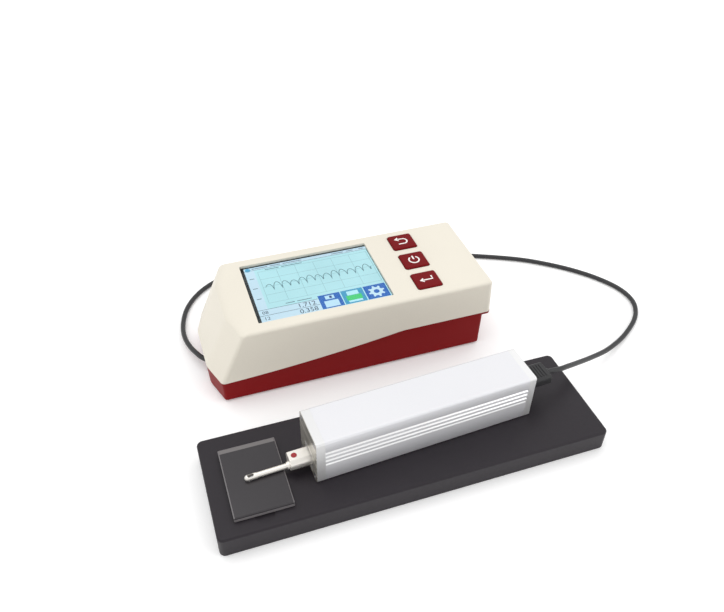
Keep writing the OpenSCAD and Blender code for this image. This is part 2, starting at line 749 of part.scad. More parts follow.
module drive_board() color([0.1, 0.35, 0.2]) at_drive() translate([drive_board_x, 0, drive_board_z]) {
    length = drive_l - rear_cap_t - drive_board_end - drive_board_x;
    translate([0, side_gap - inner_y, 0]) cube([length, 2 * (inner_y - side_gap), drive_board_t]);
    for (i = [0 : 2]) translate([chip_l + i * chip_pitch, -chip_w / 2, drive_board_t])
        cube([chip_l, chip_w, chip_h]);
}

// Cable socket with its open side at X = 0, its body running back along -X
module socket_form() difference() {
    translate([-socket_l, 0, 0]) along_x(socket_l) square([socket_w, socket_h], center = true);
    translate([socket_back - socket_l, 0, 0]) along_x(socket_l)
        square([tongue_w + 2 * tongue_gap, tongue_h + 2 * tongue_gap], center = true);
}

module rear_socket() color([0.1, 0.1, 0.11]) at_drive() translate([drive_l, 0, rear_socket_z])
    socket_form();

module lead_screw() color([0.75, 0.75, 0.77]) at_drive() translate([front_cap_t + end_gap, 0, screw_z])
    rod_x(screw_d, shaft_joint_x - shaft_gap - front_cap_t - end_gap);

module motor_coupling() color([0.55, 0.56, 0.58]) at_drive() translate([coupling_x, 0, screw_z])
    difference() {
    rod_x(coupling_d, coupling_l);
    translate([-cut, 0, 0]) rod_x(screw_d + 2 * fit_gap, coupling_l / 2 + cut);
    translate([coupling_l / 2, 0, 0]) rod_x(shaft_d + 2 * fit_gap, coupling_l / 2 + cut);
}

module motor_shaft() color([0.8, 0.8, 0.82]) at_drive() translate([shaft_joint_x + shaft_gap, 0, screw_z])
    rod_x(shaft_d, motor_x + shaft_in - shaft_joint_x - shaft_gap);

ring_wall = 0.9;
ring_out = 4;
ring_x = carriage_x - ring_out;
ring_l = 10;

module carriage() color([0.3, 0.31, 0.33]) at_drive() difference() {
    union() {
        translate([carriage_x, carriage_gap - inner_y, screw_z - carriage_h / 2])
            cube([carriage_l, 2 * (inner_y - carriage_gap), carriage_h]);
        translate([carriage_x, -tab_w / 2, screw_z + carriage_h / 2]) cube([tab_l, tab_w, tab_h]);
        translate([ring_x, -socket_d / 2 - ring_wall, pickup_z])
            cube([ring_l, socket_d + 2 * ring_wall, screw_z - pickup_z]);
        translate([ring_x, 0, pickup_z]) rod_x(socket_d + 2 * ring_wall, ring_l);
    }
    translate([ring_x - cut, 0, pickup_z]) rod_x(socket_d + 2 * fit_gap, ring_l + 2 * cut);
    translate([ring_x - cut, 0, screw_z]) rod_x(nut_d + 2 * fit_gap, carriage_l + ring_out + 2 * cut);
    for (side = [-1, 1]) translate([carriage_x - cut, side * rod_span / 2, screw_z])
        rod_x(bush_d + 2 * fit_gap, carriage_l + 2 * cut);
}

module carriage_nut() color([0.78, 0.6, 0.3]) at_drive() translate([carriage_x, 0, screw_z]) difference() {
    rod_x(nut_d, carriage_l);
    translate([-cut, 0, 0]) rod_x(screw_d + 2 * run_gap, carriage_l + 2 * cut);
}

module slide_bushes() color([0.72, 0.55, 0.3]) at_drive() for (side = [-1, 1])
    translate([carriage_x, side * rod_span / 2, screw_z]) difference() {
        rod_x(bush_d, carriage_l);
        translate([-cut, 0, 0]) rod_x(rod_d + 2 * run_gap, carriage_l + 2 * cut);
    }

module pickup_socket() color([0.15, 0.15, 0.16]) at_drive() translate([socket_x, 0, pickup_z])
    difference() {
    rod_x(socket_d, ring_x + ring_l - socket_x);
    translate([-cut, 0, 0]) rod_x(spigot_d + 2 * fit_gap, cut + spigot_l);
}

// The pickup's own frame: its body's front face at X = 0, its axis on the drive's middle plane
module at_pickup() at_drive() translate([-pickup_out, 0, pickup_z]) children();
module at_tube() at_pickup() translate([0, 0, -tube_drop]) children();
body_l = pickup_out + pickup_in;
mark_t = 0.5;
mark_proud = 0.15;
tube_in = 3;

module pickup_body() color([0.85, 0.84, 0.8]) difference() {
    at_pickup() {
        difference() {
            rod_x(pickup_d, body_l);
            translate([-cut, -pickup_d, pickup_flat]) cube([body_l + 2 * cut, 2 * pickup_d, pickup_d]);
        }
        translate([body_l - cut, 0, 0]) rod_x(spigot_d, spigot_l + cut);
        translate([-collar_l, 0, -tube_drop]) rod_x(collar_d, collar_l + sink);
    }
    at_tube() {
        translate([-collar_l - cut, 0, 0]) rod_x(tube_d + 2 * fit_gap, collar_l + cut + tube_in);
        rod_x(tube_bore, hub_x);
        translate([hub_x - pocket_l / 2, -hub_w / 2 - hub_gap, -hub_d / 2 - hub_lift])
            cube([pocket_l, hub_w + 2 * hub_gap, hub_d + 2 * hub_lift]);
        translate([hub_x, 0, 0]) rotate([90, 0, 0])
            cylinder(d = pin_d + 2 * run_gap, h = pin_l + 2 * pin_gap, center = true);
    }
    at_pickup() translate([mark_d, 0, pickup_flat + mark_proud - mark_t])
        cylinder(d = mark_d + 2 * fit_gap, h = mark_t + cut);
}

module pickup_mark() color([0.78, 0.1, 0.12]) at_pickup()
    translate([mark_d, 0, pickup_flat + mark_proud - mark_t])
    cylinder(d = mark_d, h = mark_t);

module pickup_tube() color([0.9, 0.9, 0.88]) at_tube() difference() {
    union() {
        translate([-tube_l + nose_l / 2, 0, 0]) rod_x(tube_d, tube_l - nose_l / 2 + tube_in);
        translate([nose_d / 2 - tube_l, 0, 0]) rod_x(nose_d, nose_l - nose_d / 2);
        translate([nose_d / 2 - tube_l, 0, 0]) sphere(d = nose_d);
    }
    translate([stylus_x, 0, 0]) rod_x(tube_bore, tube_l + tube_in);
    translate([stylus_x, 0, -nose_d]) {
        translate([-slot_l / 2, -tube_bore / 2, 0]) cube([slot_l, tube_bore, 2 * nose_d]);
        for (side = [-1, 1]) translate([side * slot_l / 2, 0, 0]) cylinder(d = tube_bore, h = 2 * nose_d);
    }
}

module lever_pin() color([0.8, 0.8, 0.82]) at_tube() translate([hub_x, 0, 0]) rotate([90, 0, 0])
    cylinder(d = pin_d, h = pin_l, center = true);

module stylus_lever() color([0.7, 0.7, 0.72]) at_tube() difference() {
    union() {
        translate([stylus_x, 0, 0]) rod_x(lever_d, hub_x - stylus_x);
        translate([hub_x, 0, 0]) rotate([90, 0, 0]) cylinder(d = hub_d, h = hub_w, center = true);
        translate([stylus_x, 0, tile_z + tip_gap + tip_h])
            cylinder(d = lever_d, h = -tile_z - tip_gap - tip_h);
    }
    translate([hub_x, 0, 0]) rotate([90, 0, 0])
        cylinder(d = pin_d + 2 * run_gap, h = hub_w + 2 * cut, center = true);
}

module stylus_tip() color([0.2, 0.2, 0.22]) at_tube() translate([stylus_x, 0, tile_z + tip_gap])
    cylinder(d1 = 0.06, d2 = lever_d * 0.8, h = tip_h);

// Place of the charge socket in the right end, and how deep it sits there
charge_x = half_l - shell_wall - 0.6;
charge_sink = 0.9;
charge_wall = 0.5;
charge_back = 1.2;

module upper_shell() color([0.93, 0.91, 0.85]) at_unit() difference() {
    union() {
        difference() {
            shell_form(0, unit_h, shell_edge);
            shell_form(shell_wall, top_in, inner_edge);
            parting_side(0, 0);
        }
        for (p = case_posts) translate([p.x, p.y, post_z]) cylinder(d = post_d, h = top_in + sink - post_z);
        for (p = board_posts) translate([p.x, p.y, board_top])
            cylinder(d = board_post_d, h = top_in + sink - board_top);
    }
    translate([screen_x, 0, top_in - cut]) {
        linear_extrude(height = shell_wall + 2 * cut) square([window_l, window_w], center = true);
        linear_extrude(height = glass_top - top_in + cut)
            square([glass_l + 4 * fit_gap, glass_w + 4 * fit_gap], center = true);
    }
    for (i = [-1 : 1]) translate([key_x, i * key_pitch, top_in - cut])
        rounded_slab(key_l + 2 * key_gap, key_w + 2 * key_gap, shell_wall + 2 * cut, key_corner + key_gap);
    for (p = case_posts) translate([p.x, p.y, post_z - cut])
        cylinder(d = case_screw_d + 2 * fit_gap, h = screw_bite + 2 * cut);
    for (p = board_posts) translate([p.x, p.y, board_top - cut])
        cylinder(d = board_screw_d + 2 * fit_gap, h = board_bite + 2 * cut);
    translate([charge_x - cut, 0, board_z - charge_h / 2]) along_x(2 * reach)
        square([charge_w + 4 * fit_gap, charge_h + 4 * fit_gap], center = true);
}

module lower_shell() color([0.52, 0.08, 0.1]) at_unit() difference() {
    union() {
        difference() {
            union() {
                base_form(0, foot_h, base_edge);
                difference() {
                    lip_form();
                    parting_side(0, lip_t);
                }
            }
            base_form(shell_wall, floor_top, inner_edge);
            parting_side(unit_h, 0);
        }
        intersection() {
            base_form(0, foot_h, base_edge);
            translate([-half_l - cut, bay_y - bay_w / 2 - bay_wall, foot_h])
                cube([bay_depth + cut + bay_wall, bay_w + 2 * bay_wall, bay_z + bay_h + bay_wall - foot_h]);
        }
        for (p = case_posts) translate([p.x, p.y, foot_h + sink])
            cylinder(d = post_d + 1, h = post_z - foot_h - sink);
    }
    translate([-half_l - cut, bay_y - bay_w / 2, bay_z]) cube([bay_depth + cut, bay_w, bay_h]);
    translate([bay_x - cut, plug_y, plug_z]) along_x(bay_wall + 2 * cut)
        square([socket_w + 4 * fit_gap, socket_h + 4 * fit_gap], center = true);
    for (p = case_posts) translate([p.x, p.y, 0]) {
        cylinder(d = case_screw_d + 6 * fit_gap, h = post_z + cut);
        cylinder(d = case_head_d + 6 * fit_gap, h = foot_h + head_sink);
    }
    for (p = feet) translate([p.x, p.y, 0]) cylinder(d = foot_d + 2 * fit_gap, h = foot_h + foot_seat);
}

module shell_screws() color([0.6, 0.6, 0.62]) at_unit() for (p = case_posts)
    translate([p.x, p.y, foot_h + head_sink]) difference() {
        union() {
            translate([0, 0, -case_head_h]) cylinder(d = case_head_d, h = case_head_h);
            cylinder(d = case_screw_d, h = post_z - foot_h - head_sink + screw_bite);
        }
        for (a = [0, 90]) translate([0, 0, -case_head_h]) rotate([0, 0, a])
            cube([case_head_d * 0.6, case_head_d * 0.14, case_head_h * 0.8], center = true);
    }

module unit_feet() color([0.12, 0.12, 0.12]) at_unit() for (p = feet) translate([p.x, p.y, 0])
    cylinder(d = foot_d, h = foot_h + foot_seat);

module screen_glass() color([0.62, 0.8, 0.84]) at_unit() translate([screen_x, 0, panel_top])
    linear_extrude(height = glass_t) square([glass_l, glass_w], center = true);

module display_panel() color([0.2, 0.3, 0.34]) at_unit() translate([screen_x, 0, panel_top - panel_t])
    linear_extrude(height = panel_t) square([glass_l, glass_w], center = true);

module display_carrier() color([0.16, 0.16, 0.17]) at_unit() translate([screen_x, 0, board_top])
    difference() {
    linear_extrude(height = panel_top - end_gap - board_top) square([carrier_l, carrier_w], center = true);
    translate([0, 0, panel_top - panel_t - board_top]) linear_extrude(height = panel_t + cut)
        square([glass_l + 4 * fit_gap, glass_w + 4 * fit_gap], center = true);
    translate([0, 0, -cut]) linear_extrude(height = board_drop)
        square([glass_l - 2 * carrier_lap, glass_w - 2 * carrier_lap], center = true);
}

// The main board: a wide part under the screen and keys, and a tail that carries the charge socket
module main_board() color([0.1, 0.35, 0.2]) at_unit() translate([0, 0, board_z]) difference() {
    wide = carrier_w / 2 - sink;
    wide_end = half_l - board_end;
    left = screen_x - glass_l / 2 + sink;
    linear_extrude(height = board_t) {
        translate([left, -wide]) square([wide_end - left, 2 * wide]);
        translate([wide_end - cut, -tail_w / 2]) square([charge_x - end_gap - wide_end + cut, tail_w]);
    }
    for (p = board_posts) translate([p.x, p.y, -cut])
        cylinder(d = board_screw_d + 4 * fit_gap, h = board_t + 2 * cut);
}

board_head_h = 1.4;

module board_screws() color([0.6, 0.6, 0.62]) at_unit() for (p = board_posts)
    translate([p.x, p.y, board_z]) {
    translate([0, 0, -board_head_h]) cylinder(d = board_screw_d * 2, h = board_head_h);
    cylinder(d = board_screw_d, h = board_t + board_bite);
}

// One key: its cap through the shell, the flange that holds it in and the stem over its switch
module key(i) color([0.58, 0.06, 0.08]) at_unit() translate([key_x, i * key_pitch, 0]) {
    translate([0, 0, flange_top - sink])
        soft_block(key_l, key_w, unit_h + key_proud - flange_top + sink, key_corner, key_edge);
    translate([0, 0, flange_top - flange_t])
        rounded_slab(key_l + 2 * flange_w, key_w + 2 * flange_w, flange_t, key_corner + flange_w);
    translate([0, 0, stem_z]) cylinder(d = stem_d, h = flange_top - stem_z);
}

module back_key() key(1);
module start_key() key(0);
module enter_key() key(-1);

module key_switches() color([0.14, 0.14, 0.15]) at_unit() for (i = [-1 : 1])
    translate([key_x, i * key_pitch, board_top]) {
        linear_extrude(height = switch_h) square(switch_w, center = true);
        cylinder(d = plunger_d, h = switch_h + plunger_h);
    }

module battery_pack() color([0.2, 0.3, 0.5]) at_unit()
    translate([half_l - board_end - battery_l / 2, 0, floor_top])
    rounded_slab(battery_l, battery_w, battery_h, battery_corner);

module cable_socket() color([0.1, 0.1, 0.11]) at_unit() translate([bay_x, plug_y, plug_z])
    rotate([0, 0, 180])
    socket_form();

module charge_socket() color([0.7, 0.7, 0.72]) at_unit()
    translate([half_l - charge_sink - charge_l, 0, board_z - charge_h / 2]) difference() {
        along_x(charge_l) square([charge_w, charge_h], center = true);
        translate([charge_back, 0, 0]) along_x(charge_l)
            square([charge_w - 2 * charge_wall, charge_h - 2 * charge_wall], center = true);
    }

// Plug with its mating face at X = 0: a tongue, a soft grip and a tapered strain relief
module plug_form() {
    translate([-tongue_l, 0, 0]) along_x(tongue_l + cut) square([tongue_w, tongue_h], center = true);
    along_x(plug_l) rounded_rect(plug_w, plug_h, plug_corner);
    translate([plug_l - cut, 0, 0]) rotate([0, 90, 0])
        cylinder(d1 = plug_h - 1, d2 = cable_d + 0.8, h = relief_l + cut);
}
plug_corner = 1.4;

module unit_plug() color([0.09, 0.09, 0.1]) at_unit() translate([bay_x, plug_y, plug_z]) rotate([0, 0, 180])
    plug_form();

module drive_plug() color([0.09, 0.09, 0.1]) at_drive() translate([drive_l, 0, rear_socket_z]) plug_form();

// The cable's whole route, from one strain relief to the other
unit_exit = [unit_shift + bay_x - plug_l - relief_l, unit_y + plug_y, plug_z];
drive_exit = drive_point([drive_l + plug_l + relief_l, 0, rear_socket_z]);
drive_lead = drive_point([drive_l + plug_l + relief_l + lead_l, 0, rear_socket_z - lead_drop]);
cable_route = concat([unit_exit], cable_course, [drive_lead, drive_exit]);

function direction(v) = v / norm(v);

// Point between two points of a route, on a smooth curve through its neighbours
function route_middle(r, i) = let (
    before = r[max(i - 1, 0)],
    after = r[min(i + 2, len(r) - 1)])
    (9 * (r[i] + r[i + 1]) - before - after) / 16;

function fine_route(r) =
    [for (i = [0 : len(r) - 1]) each (i < len(r) - 1 ? [r[i], route_middle(r, i)] : [r[i]])];

function route_heading(r, i) =
    i == 0 ? [-1, 0, 0] :
    i == len(r) - 1 ? [-cos(drive_turn), -sin(drive_turn), 0] :
    direction(r[i + 1] - r[i - 1]);

// Ring of the cable round one point, square to its heading
function cable_ring(p, heading) = let (
    side = direction(cross([0, 0, 1], heading)),
    up = cross(heading, side))
    [for (k = [0 : cable_sides - 1]) let (a = 360 * k / cable_sides)
        p + cable_d / 2 * (cos(a) * side + sin(a) * up)];

module signal_cable() color([0.12, 0.12, 0.12]) {
    r = fine_route(cable_route);
    loft([for (i = [0 : len(r) - 1]) cable_ring(r[i], route_heading(r, i))]);
}

base_plate();
specimen_tile();
drive_housing();
drive_front_cap();
drive_rear_cap();
front_cap_screws();
rear_cap_screws();
chassis();
guide_rods();
screw_bearings();
gear_motor();
limit_switches();
drive_board();
rear_socket();
lead_screw();
motor_coupling();
motor_shaft();
carriage();
carriage_nut();
slide_bushes();
pickup_socket();
pickup_body();
pickup_mark();
pickup_tube();
lever_pin();
stylus_lever();
stylus_tip();
upper_shell();
lower_shell();
shell_screws();
unit_feet();
screen_glass();
display_panel();
display_carrier();
main_board();
board_screws();
back_key();
start_key();
enter_key();
key_switches();
battery_pack();
cable_socket();
charge_socket();
unit_plug();
drive_plug();
signal_cable();
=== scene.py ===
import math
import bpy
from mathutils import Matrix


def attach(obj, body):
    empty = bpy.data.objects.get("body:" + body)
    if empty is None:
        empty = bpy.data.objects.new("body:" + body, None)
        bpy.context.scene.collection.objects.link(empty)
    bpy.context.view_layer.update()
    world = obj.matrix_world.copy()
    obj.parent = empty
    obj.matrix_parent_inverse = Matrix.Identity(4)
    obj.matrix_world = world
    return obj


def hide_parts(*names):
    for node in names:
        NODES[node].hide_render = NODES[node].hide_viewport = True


bl_info = {
    "name": "Surface Roughness Tester",
    "version": (1, 0, 0),
    "blender": (4, 5, 0),
    "location": "View3D > Sidebar > Tester",
    "description": "Dresses the tester's solids with shells, screen, keys, drive, pickup, cable and finishes",
    "category": "Object",
}

import bmesh
import bpy
from mathutils import Matrix, Vector

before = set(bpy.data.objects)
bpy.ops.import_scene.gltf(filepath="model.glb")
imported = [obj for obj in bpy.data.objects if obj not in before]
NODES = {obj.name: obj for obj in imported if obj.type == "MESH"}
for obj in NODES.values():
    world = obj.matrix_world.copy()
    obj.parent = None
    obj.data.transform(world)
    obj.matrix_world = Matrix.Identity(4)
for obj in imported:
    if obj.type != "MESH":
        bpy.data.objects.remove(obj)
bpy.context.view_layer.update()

MM = 0.001
STILL = "tester_body"
CARRIAGE = "carriage_body"

# The display unit's own frame: its middle, in millimetres
UNIT_X, UNIT_Y = -4.5, 45.0
# The drive's own frame: the foot of its front face, in millimetres, and its turn on the plate
DRIVE_ORIGIN = (-49.7, -48.6, 12.0)
DRIVE_TURN = math.radians(3.2)
# The window's middle and the keys' middle along the unit
SCREEN_X = -14.3
KEY_X, KEY_PITCH = 44.3, 18.7

# The cable's route from the unit's plug round to the drive's plug, in metres
CABLE_ROUTE = [
    (-0.0715, 0.0408, 0.0069), (-0.0785, 0.0408, 0.007), (-0.0825, 0.042, 0.007), (-0.0858, 0.0454, 0.007),
    (-0.0884, 0.051, 0.0064), (-0.0906, 0.0576, 0.0054), (-0.0922, 0.066, 0.0042), (-0.0924, 0.075, 0.003),
    (-0.0912, 0.084, 0.002), (-0.0886, 0.093, 0.0016), (-0.085, 0.1002, 0.0015), (-0.0804, 0.1064, 0.0015),
    (-0.0746, 0.112, 0.0015), (-0.066, 0.1174, 0.0015), (-0.054, 0.1214, 0.0015), (-0.04, 0.1236, 0.0015),
    (-0.024, 0.124, 0.0015), (-0.006, 0.1228, 0.0015), (0.012, 0.1202, 0.0015), (0.03, 0.1166, 0.0015),
    (0.05, 0.1114, 0.0015), (0.07, 0.1052, 0.0015), (0.088, 0.0986, 0.0015), (0.105, 0.0912, 0.0015),
    (0.121, 0.084, 0.0015), (0.135, 0.0766, 0.0015), (0.147, 0.0682, 0.0015), (0.1575, 0.0594, 0.0015),
    (0.1664, 0.0502, 0.0015), (0.173, 0.0414, 0.0015), (0.1778, 0.0326, 0.0015), (0.18, 0.024, 0.0015),
    (0.1794, 0.0156, 0.0015), (0.1756, 0.0078, 0.0015), (0.17, 0.0014, 0.0015), (0.1615, -0.0052, 0.0016),
    (0.151, -0.0118, 0.0024), (0.136, -0.0196, 0.0056), (0.12, -0.0268, 0.0114), (0.1035, -0.0344, 0.019),
    (0.0955, -0.038, 0.0228), (0.09, -0.0402, 0.025), (0.08509, -0.04106, 0.0262), (0.0811, -0.04129, 0.0266),
]


def srgb(r, g, b):
    """Linear colour of a display colour given from 0 to 255."""
    return tuple(((c / 255 + 0.055) / 1.055) ** 2.4 if c > 10 else c / 255 / 12.92 for c in (r, g, b))


def colour(name, description, value):
    return bpy.props.FloatVectorProperty(
        name=name, description=description, subtype="COLOR", size=3, min=0, max=1, default=srgb(*value))


def length(name, description, value):
    return bpy.props.FloatProperty(
        name=name, description=description, subtype="DISTANCE", unit="LENGTH", default=value * MM, min=0, precision=5)


class ShellSettings(bpy.types.PropertyGroup):
    """Sizes and colours of the display unit's shells and keys."""
    cream: colour("Upper shell", "Colour of the upper shell", (231, 225, 211))
    red: colour("Lower shell", "Colour of the lower shell", (132, 6, 10))
    key_red: colour("Keys", "Colour of the keys", (117, 5, 12))
    wall: length("Wall", "Thickness of the upper shell", 1.8)
    top_edge: length("Top edge", "Rounding of the upper shell's top edge", 2.0)
    seam: length("Seam", "Gap at the parting line", 0.12)


class ScreenSettings(bpy.types.PropertyGroup):
    """Colours and layout of the screen's picture."""
    backlight: bpy.props.FloatProperty(name="Backlight", description="Brightness of the picture", default=1.0, min=0)
    ground: colour("Ground", "Colour of the picture's ground", (188, 234, 240))
    grid: colour("Grid", "Colour of the grid lines", (158, 204, 211))
    trace: colour("Trace", "Colour of the measured trace", (96, 136, 146))
    columns: bpy.props.IntProperty(name="Columns", description="Grid columns", default=6, min=1)
    rows: bpy.props.IntProperty(name="Rows", description="Grid rows", default=4, min=1)


class BenchSettings(bpy.types.PropertyGroup):
    """Colours of the plate, tile, drive, pickup and cable, and the cable's size."""
    plate: colour("Plate", "Colour of the stand plate", (38, 33, 39))
    tile: colour("Tile", "Colour of the specimen tile", (54, 51, 54))
    silver: colour("Drive", "Colour of the drive's extrusion", (230, 230, 233))
    pickup: colour("Pickup", "Colour of the pickup", (250, 246, 239))
    cable: colour("Cable", "Colour of the cable's jacket", (40, 40, 42))
    cable_d: length("Cable diameter", "Diameter of the cable", 2.8)


class StageSettings(bpy.types.PropertyGroup):
    """Lens, floor and light."""
    lens: bpy.props.FloatProperty(
        name="Lens", description="Focal length in millimetres", subtype="DISTANCE_CAMERA", default=36.85, min=10)
    floor: colour("Floor", "Colour of the floor", (250, 250, 250))
    key_power: bpy.props.FloatProperty(
        name="Key light", description="Power in watts", subtype="POWER", default=2.6, min=0)
    sky: bpy.props.FloatProperty(name="Sky", description="Strength of the surrounding light", default=0.85, min=0)


# Shader groups and materials


NODE_STEP = 220


def add_node(tree, kind, entries=(), **values):
    """New node beside the others, with its properties or inputs set by name, and its nameless inputs by number."""
    node = tree.nodes.new(kind)
    node.location.x = NODE_STEP * len(tree.nodes)
    for key, value in values.items():
        if hasattr(node, key):
            setattr(node, key, value)
        else:
            node.inputs[key].default_value = value
    for i, value in entries:
        node.inputs[i].default_value = value
    return node


def wire(tree, *links):
    """Links nodes; each link is a node, its output, the next node and its input."""
    for source, output, target, entry in links:
        tree.links.new(source.outputs[output], target.inputs[entry])


def surface_group():
    """Shader group for a moulded or coated surface: slow tint, fine grain and a roughness that varies."""
    if "Moulded Surface" in bpy.data.node_groups:
        return bpy.data.node_groups["Moulded Surface"]
    tree = bpy.data.node_groups.new("Moulded Surface", "ShaderNodeTree")
    for name, kind, default in (
            ("Color", "NodeSocketColor", (0.5, 0.5, 0.5, 1)), ("Tint", "NodeSocketColor", (0.4, 0.4, 0.4, 1)),
            ("Grain Scale", "NodeSocketFloat", 900), ("Roughness", "NodeSocketFloat", 0.5),
            ("Roughness Spread", "NodeSocketFloat", 0.1), ("Stretch", "NodeSocketVector", (1, 1, 1))):
        tree.interface.new_socket(name=name, in_out="INPUT", socket_type=kind).default_value = default
    for name, kind in (("Color", "NodeSocketColor"), ("Roughness", "NodeSocketFloat"), ("Height", "NodeSocketFloat")):
        tree.interface.new_socket(name=name, in_out="OUTPUT", socket_type=kind)
    inside = add_node(tree, "NodeGroupInput")
    outside = add_node(tree, "NodeGroupOutput")
    place = add_node(tree, "ShaderNodeTexCoord")
    stretch = add_node(tree, "ShaderNodeVectorMath", operation="MULTIPLY")
    fine = add_node(tree, "ShaderNodeTexNoise", Detail=4.0, Roughness=0.6)
    slow = add_node(tree, "ShaderNodeTexNoise", Scale=22.0, Detail=3.0)
    share = add_node(tree, "ShaderNodeMath", operation="MULTIPLY")
    blend = add_node(tree, "ShaderNodeMix", data_type="RGBA")
    centred = add_node(tree, "ShaderNodeMath", [(1, 0.5)], operation="SUBTRACT")
    spread = add_node(tree, "ShaderNodeMath", operation="MULTIPLY_ADD")
    wire(tree, (place, "Object", stretch, 0), (inside, "Stretch", stretch, 1), (stretch, 0, fine, "Vector"),
         (place, "Object", slow, "Vector"), (inside, "Grain Scale", fine, "Scale"), (fine, 0, share, 0),
         (slow, 0, share, 1), (share, 0, blend, "Factor"), (inside, "Color", blend, "A"), (inside, "Tint", blend, "B"),
         (fine, 0, centred, 0), (centred, 0, spread, 0), (inside, "Roughness Spread", spread, 1),
         (inside, "Roughness", spread, 2), (blend, "Result", outside, "Color"), (spread, 0, outside, "Roughness"),
         (fine, 0, outside, "Height"))
    return tree


def finish_material(name, base, tint=None, grain=900.0, rough=0.5, spread=0.1, bump=0.1, depth=0.02,
                    stretch=(1, 1, 1), **sockets):
    """Material that wears the shared surface group; further values go straight on the shader's sockets."""
    if name in bpy.data.materials:
        return bpy.data.materials[name]
    material = bpy.data.materials.new(name)
    material.use_nodes = True
    tree = material.node_tree
    shader = tree.nodes["Principled BSDF"]
    group = add_node(tree, "ShaderNodeGroup")
    group.node_tree = surface_group()
    tint = tint or tuple(0.86 * c for c in base)
    for key, value in (("Color", (*base, 1)), ("Tint", (*tint, 1)), ("Grain Scale", grain), ("Roughness", rough),
                       ("Roughness Spread", spread), ("Stretch", stretch)):
        group.inputs[key].default_value = value
    relief = add_node(tree, "ShaderNodeBump", Strength=bump, Distance=depth * MM)
    wire(tree, (group, "Color", shader, "Base Color"), (group, "Roughness", shader, "Roughness"),
         (group, "Height", relief, "Height"), (relief, "Normal", shader, "Normal"))
    for key, value in sockets.items():
        shader.inputs[key.replace("_", " ").title().replace("Ior", "IOR")].default_value = value
    return material


# Share of its colour that the screen's picture keeps where it is dimmest, and share that it shows unlit
PICTURE_DIM, PICTURE_UNLIT = 0.82, 0.08


def light_material(name, base, strength):
    """Self-lit material of the screen's picture, with a slow change of brightness across it."""
    material = bpy.data.materials.new(name)
    material.use_nodes = True
    tree = material.node_tree
    shader = tree.nodes["Principled BSDF"]
    place = add_node(tree, "ShaderNodeTexCoord")
    noise = add_node(tree, "ShaderNodeTexNoise", Scale=30.0, Detail=1.0)
    blend = add_node(tree, "ShaderNodeMix", data_type="RGBA", A=(*base, 1), B=(*[c * PICTURE_DIM for c in base], 1))
    unlit = add_node(tree, "ShaderNodeMix", data_type="RGBA", blend_type="MULTIPLY", Factor=1.0,
                     B=(PICTURE_UNLIT, PICTURE_UNLIT, PICTURE_UNLIT, 1))
    wire(tree, (place, "Object", noise, "Vector"), (noise, 0, blend, "Factor"), (blend, "Result", unlit, "A"),
         (blend, "Result", shader, "Emission Color"), (unlit, "Result", shader, "Base Color"))
    shader.inputs["Emission Strength"].default_value = strength
    shader.inputs["Roughness"].default_value = 0.4
    return material


def band_share(material, direction, near, far):
    """Factor that goes from 0 to 1 between two distances along a direction, in millimetres."""
    tree = material.node_tree
    place = add_node(tree, "ShaderNodeTexCoord")
    along = add_node(tree, "ShaderNodeVectorMath", [(1, direction)], operation="DOT_PRODUCT")
    share = add_node(tree, "ShaderNodeMapRange", **{"From Min": near * MM, "From Max": far * MM})
    wire(tree, (place, "Object", along, 0), (along, "Value", share, "Value"))
    return share.outputs["Result"]


def second_finish(material, share, base, rough):
    """Mixes a second colour, given as a value or a socket, and a second roughness into a finish by a factor."""
    tree = material.node_tree
    shader = tree.nodes["Principled BSDF"]
    for name, kind, value in (("Roughness", "FLOAT", rough), ("Base Color", "RGBA", base)):
        blend = add_node(tree, "ShaderNodeMix", data_type=kind)
        tree.links.new(share, blend.inputs["Factor"])
        tree.links.new(shader.inputs[name].links[0].from_socket, blend.inputs["A"])
        tree.links.new(blend.outputs["Result"], shader.inputs[name])
        if isinstance(value, bpy.types.NodeSocket):
            tree.links.new(value, blend.inputs["B"])
        else:
            blend.inputs["B"].default_value = value


def polish_marks_and_painted_shade(material, dark, light):
    """Colour socket of fine marks that run along one direction, between two colours."""
    tree = material.node_tree
    place = add_node(tree, "ShaderNodeTexCoord")
    stretch = add_node(tree, "ShaderNodeVectorMath", [(1, (1, 0.03, 1))], operation="MULTIPLY")
    streak = add_node(tree, "ShaderNodeTexNoise", Scale=900.0, Detail=3.0)
    share = add_node(tree, "ShaderNodeMapRange", **{"From Min": 0.4, "From Max": 0.7})
    tone = add_node(tree, "ShaderNodeMix", data_type="RGBA", A=(*dark, 1), B=(*light, 1))
    wire(tree, (place, "Object", stretch, 0), (stretch, 0, streak, "Vector"), (streak, 0, share, "Value"),
         (share, "Result", tone, "Factor"))
    return tone.outputs["Result"]


# Meshes


def unit_point(x, y, z):
    """Point of the display unit's frame, in millimetres, in the row frame, in metres."""
    return Vector(((x + UNIT_X) * MM, (y + UNIT_Y) * MM, z * MM))


DRIVE_PLACE = Matrix.Translation(Vector(DRIVE_ORIGIN) * MM) @ Matrix.Rotation(DRIVE_TURN, 4, "Z")


def drive_point(x, y, z):
    """Point of the drive's frame, in millimetres, in the row frame, in metres."""
    return DRIVE_PLACE @ (Vector((x, y, z)) * MM)


def show(thing):
    bpy.context.scene.collection.objects.link(thing)
    return thing


def mesh_object(name, points, faces):
    mesh = bpy.data.meshes.new(name)
    mesh.from_pydata([tuple(p) for p in points], [], faces)
    mesh.validate()
    return show(bpy.data.objects.new(name, mesh))


def bake_modifiers(piece):
    """Turns a piece with modifiers into a plain mesh."""
    bpy.context.view_layer.update()
    solid = piece.evaluated_get(bpy.context.evaluated_depsgraph_get())
    mesh = bpy.data.meshes.new_from_object(solid)
    old = piece.data
    piece.modifiers.clear()
    piece.data = mesh
    mesh.name = piece.name
    bpy.data.meshes.remove(old)
    return piece


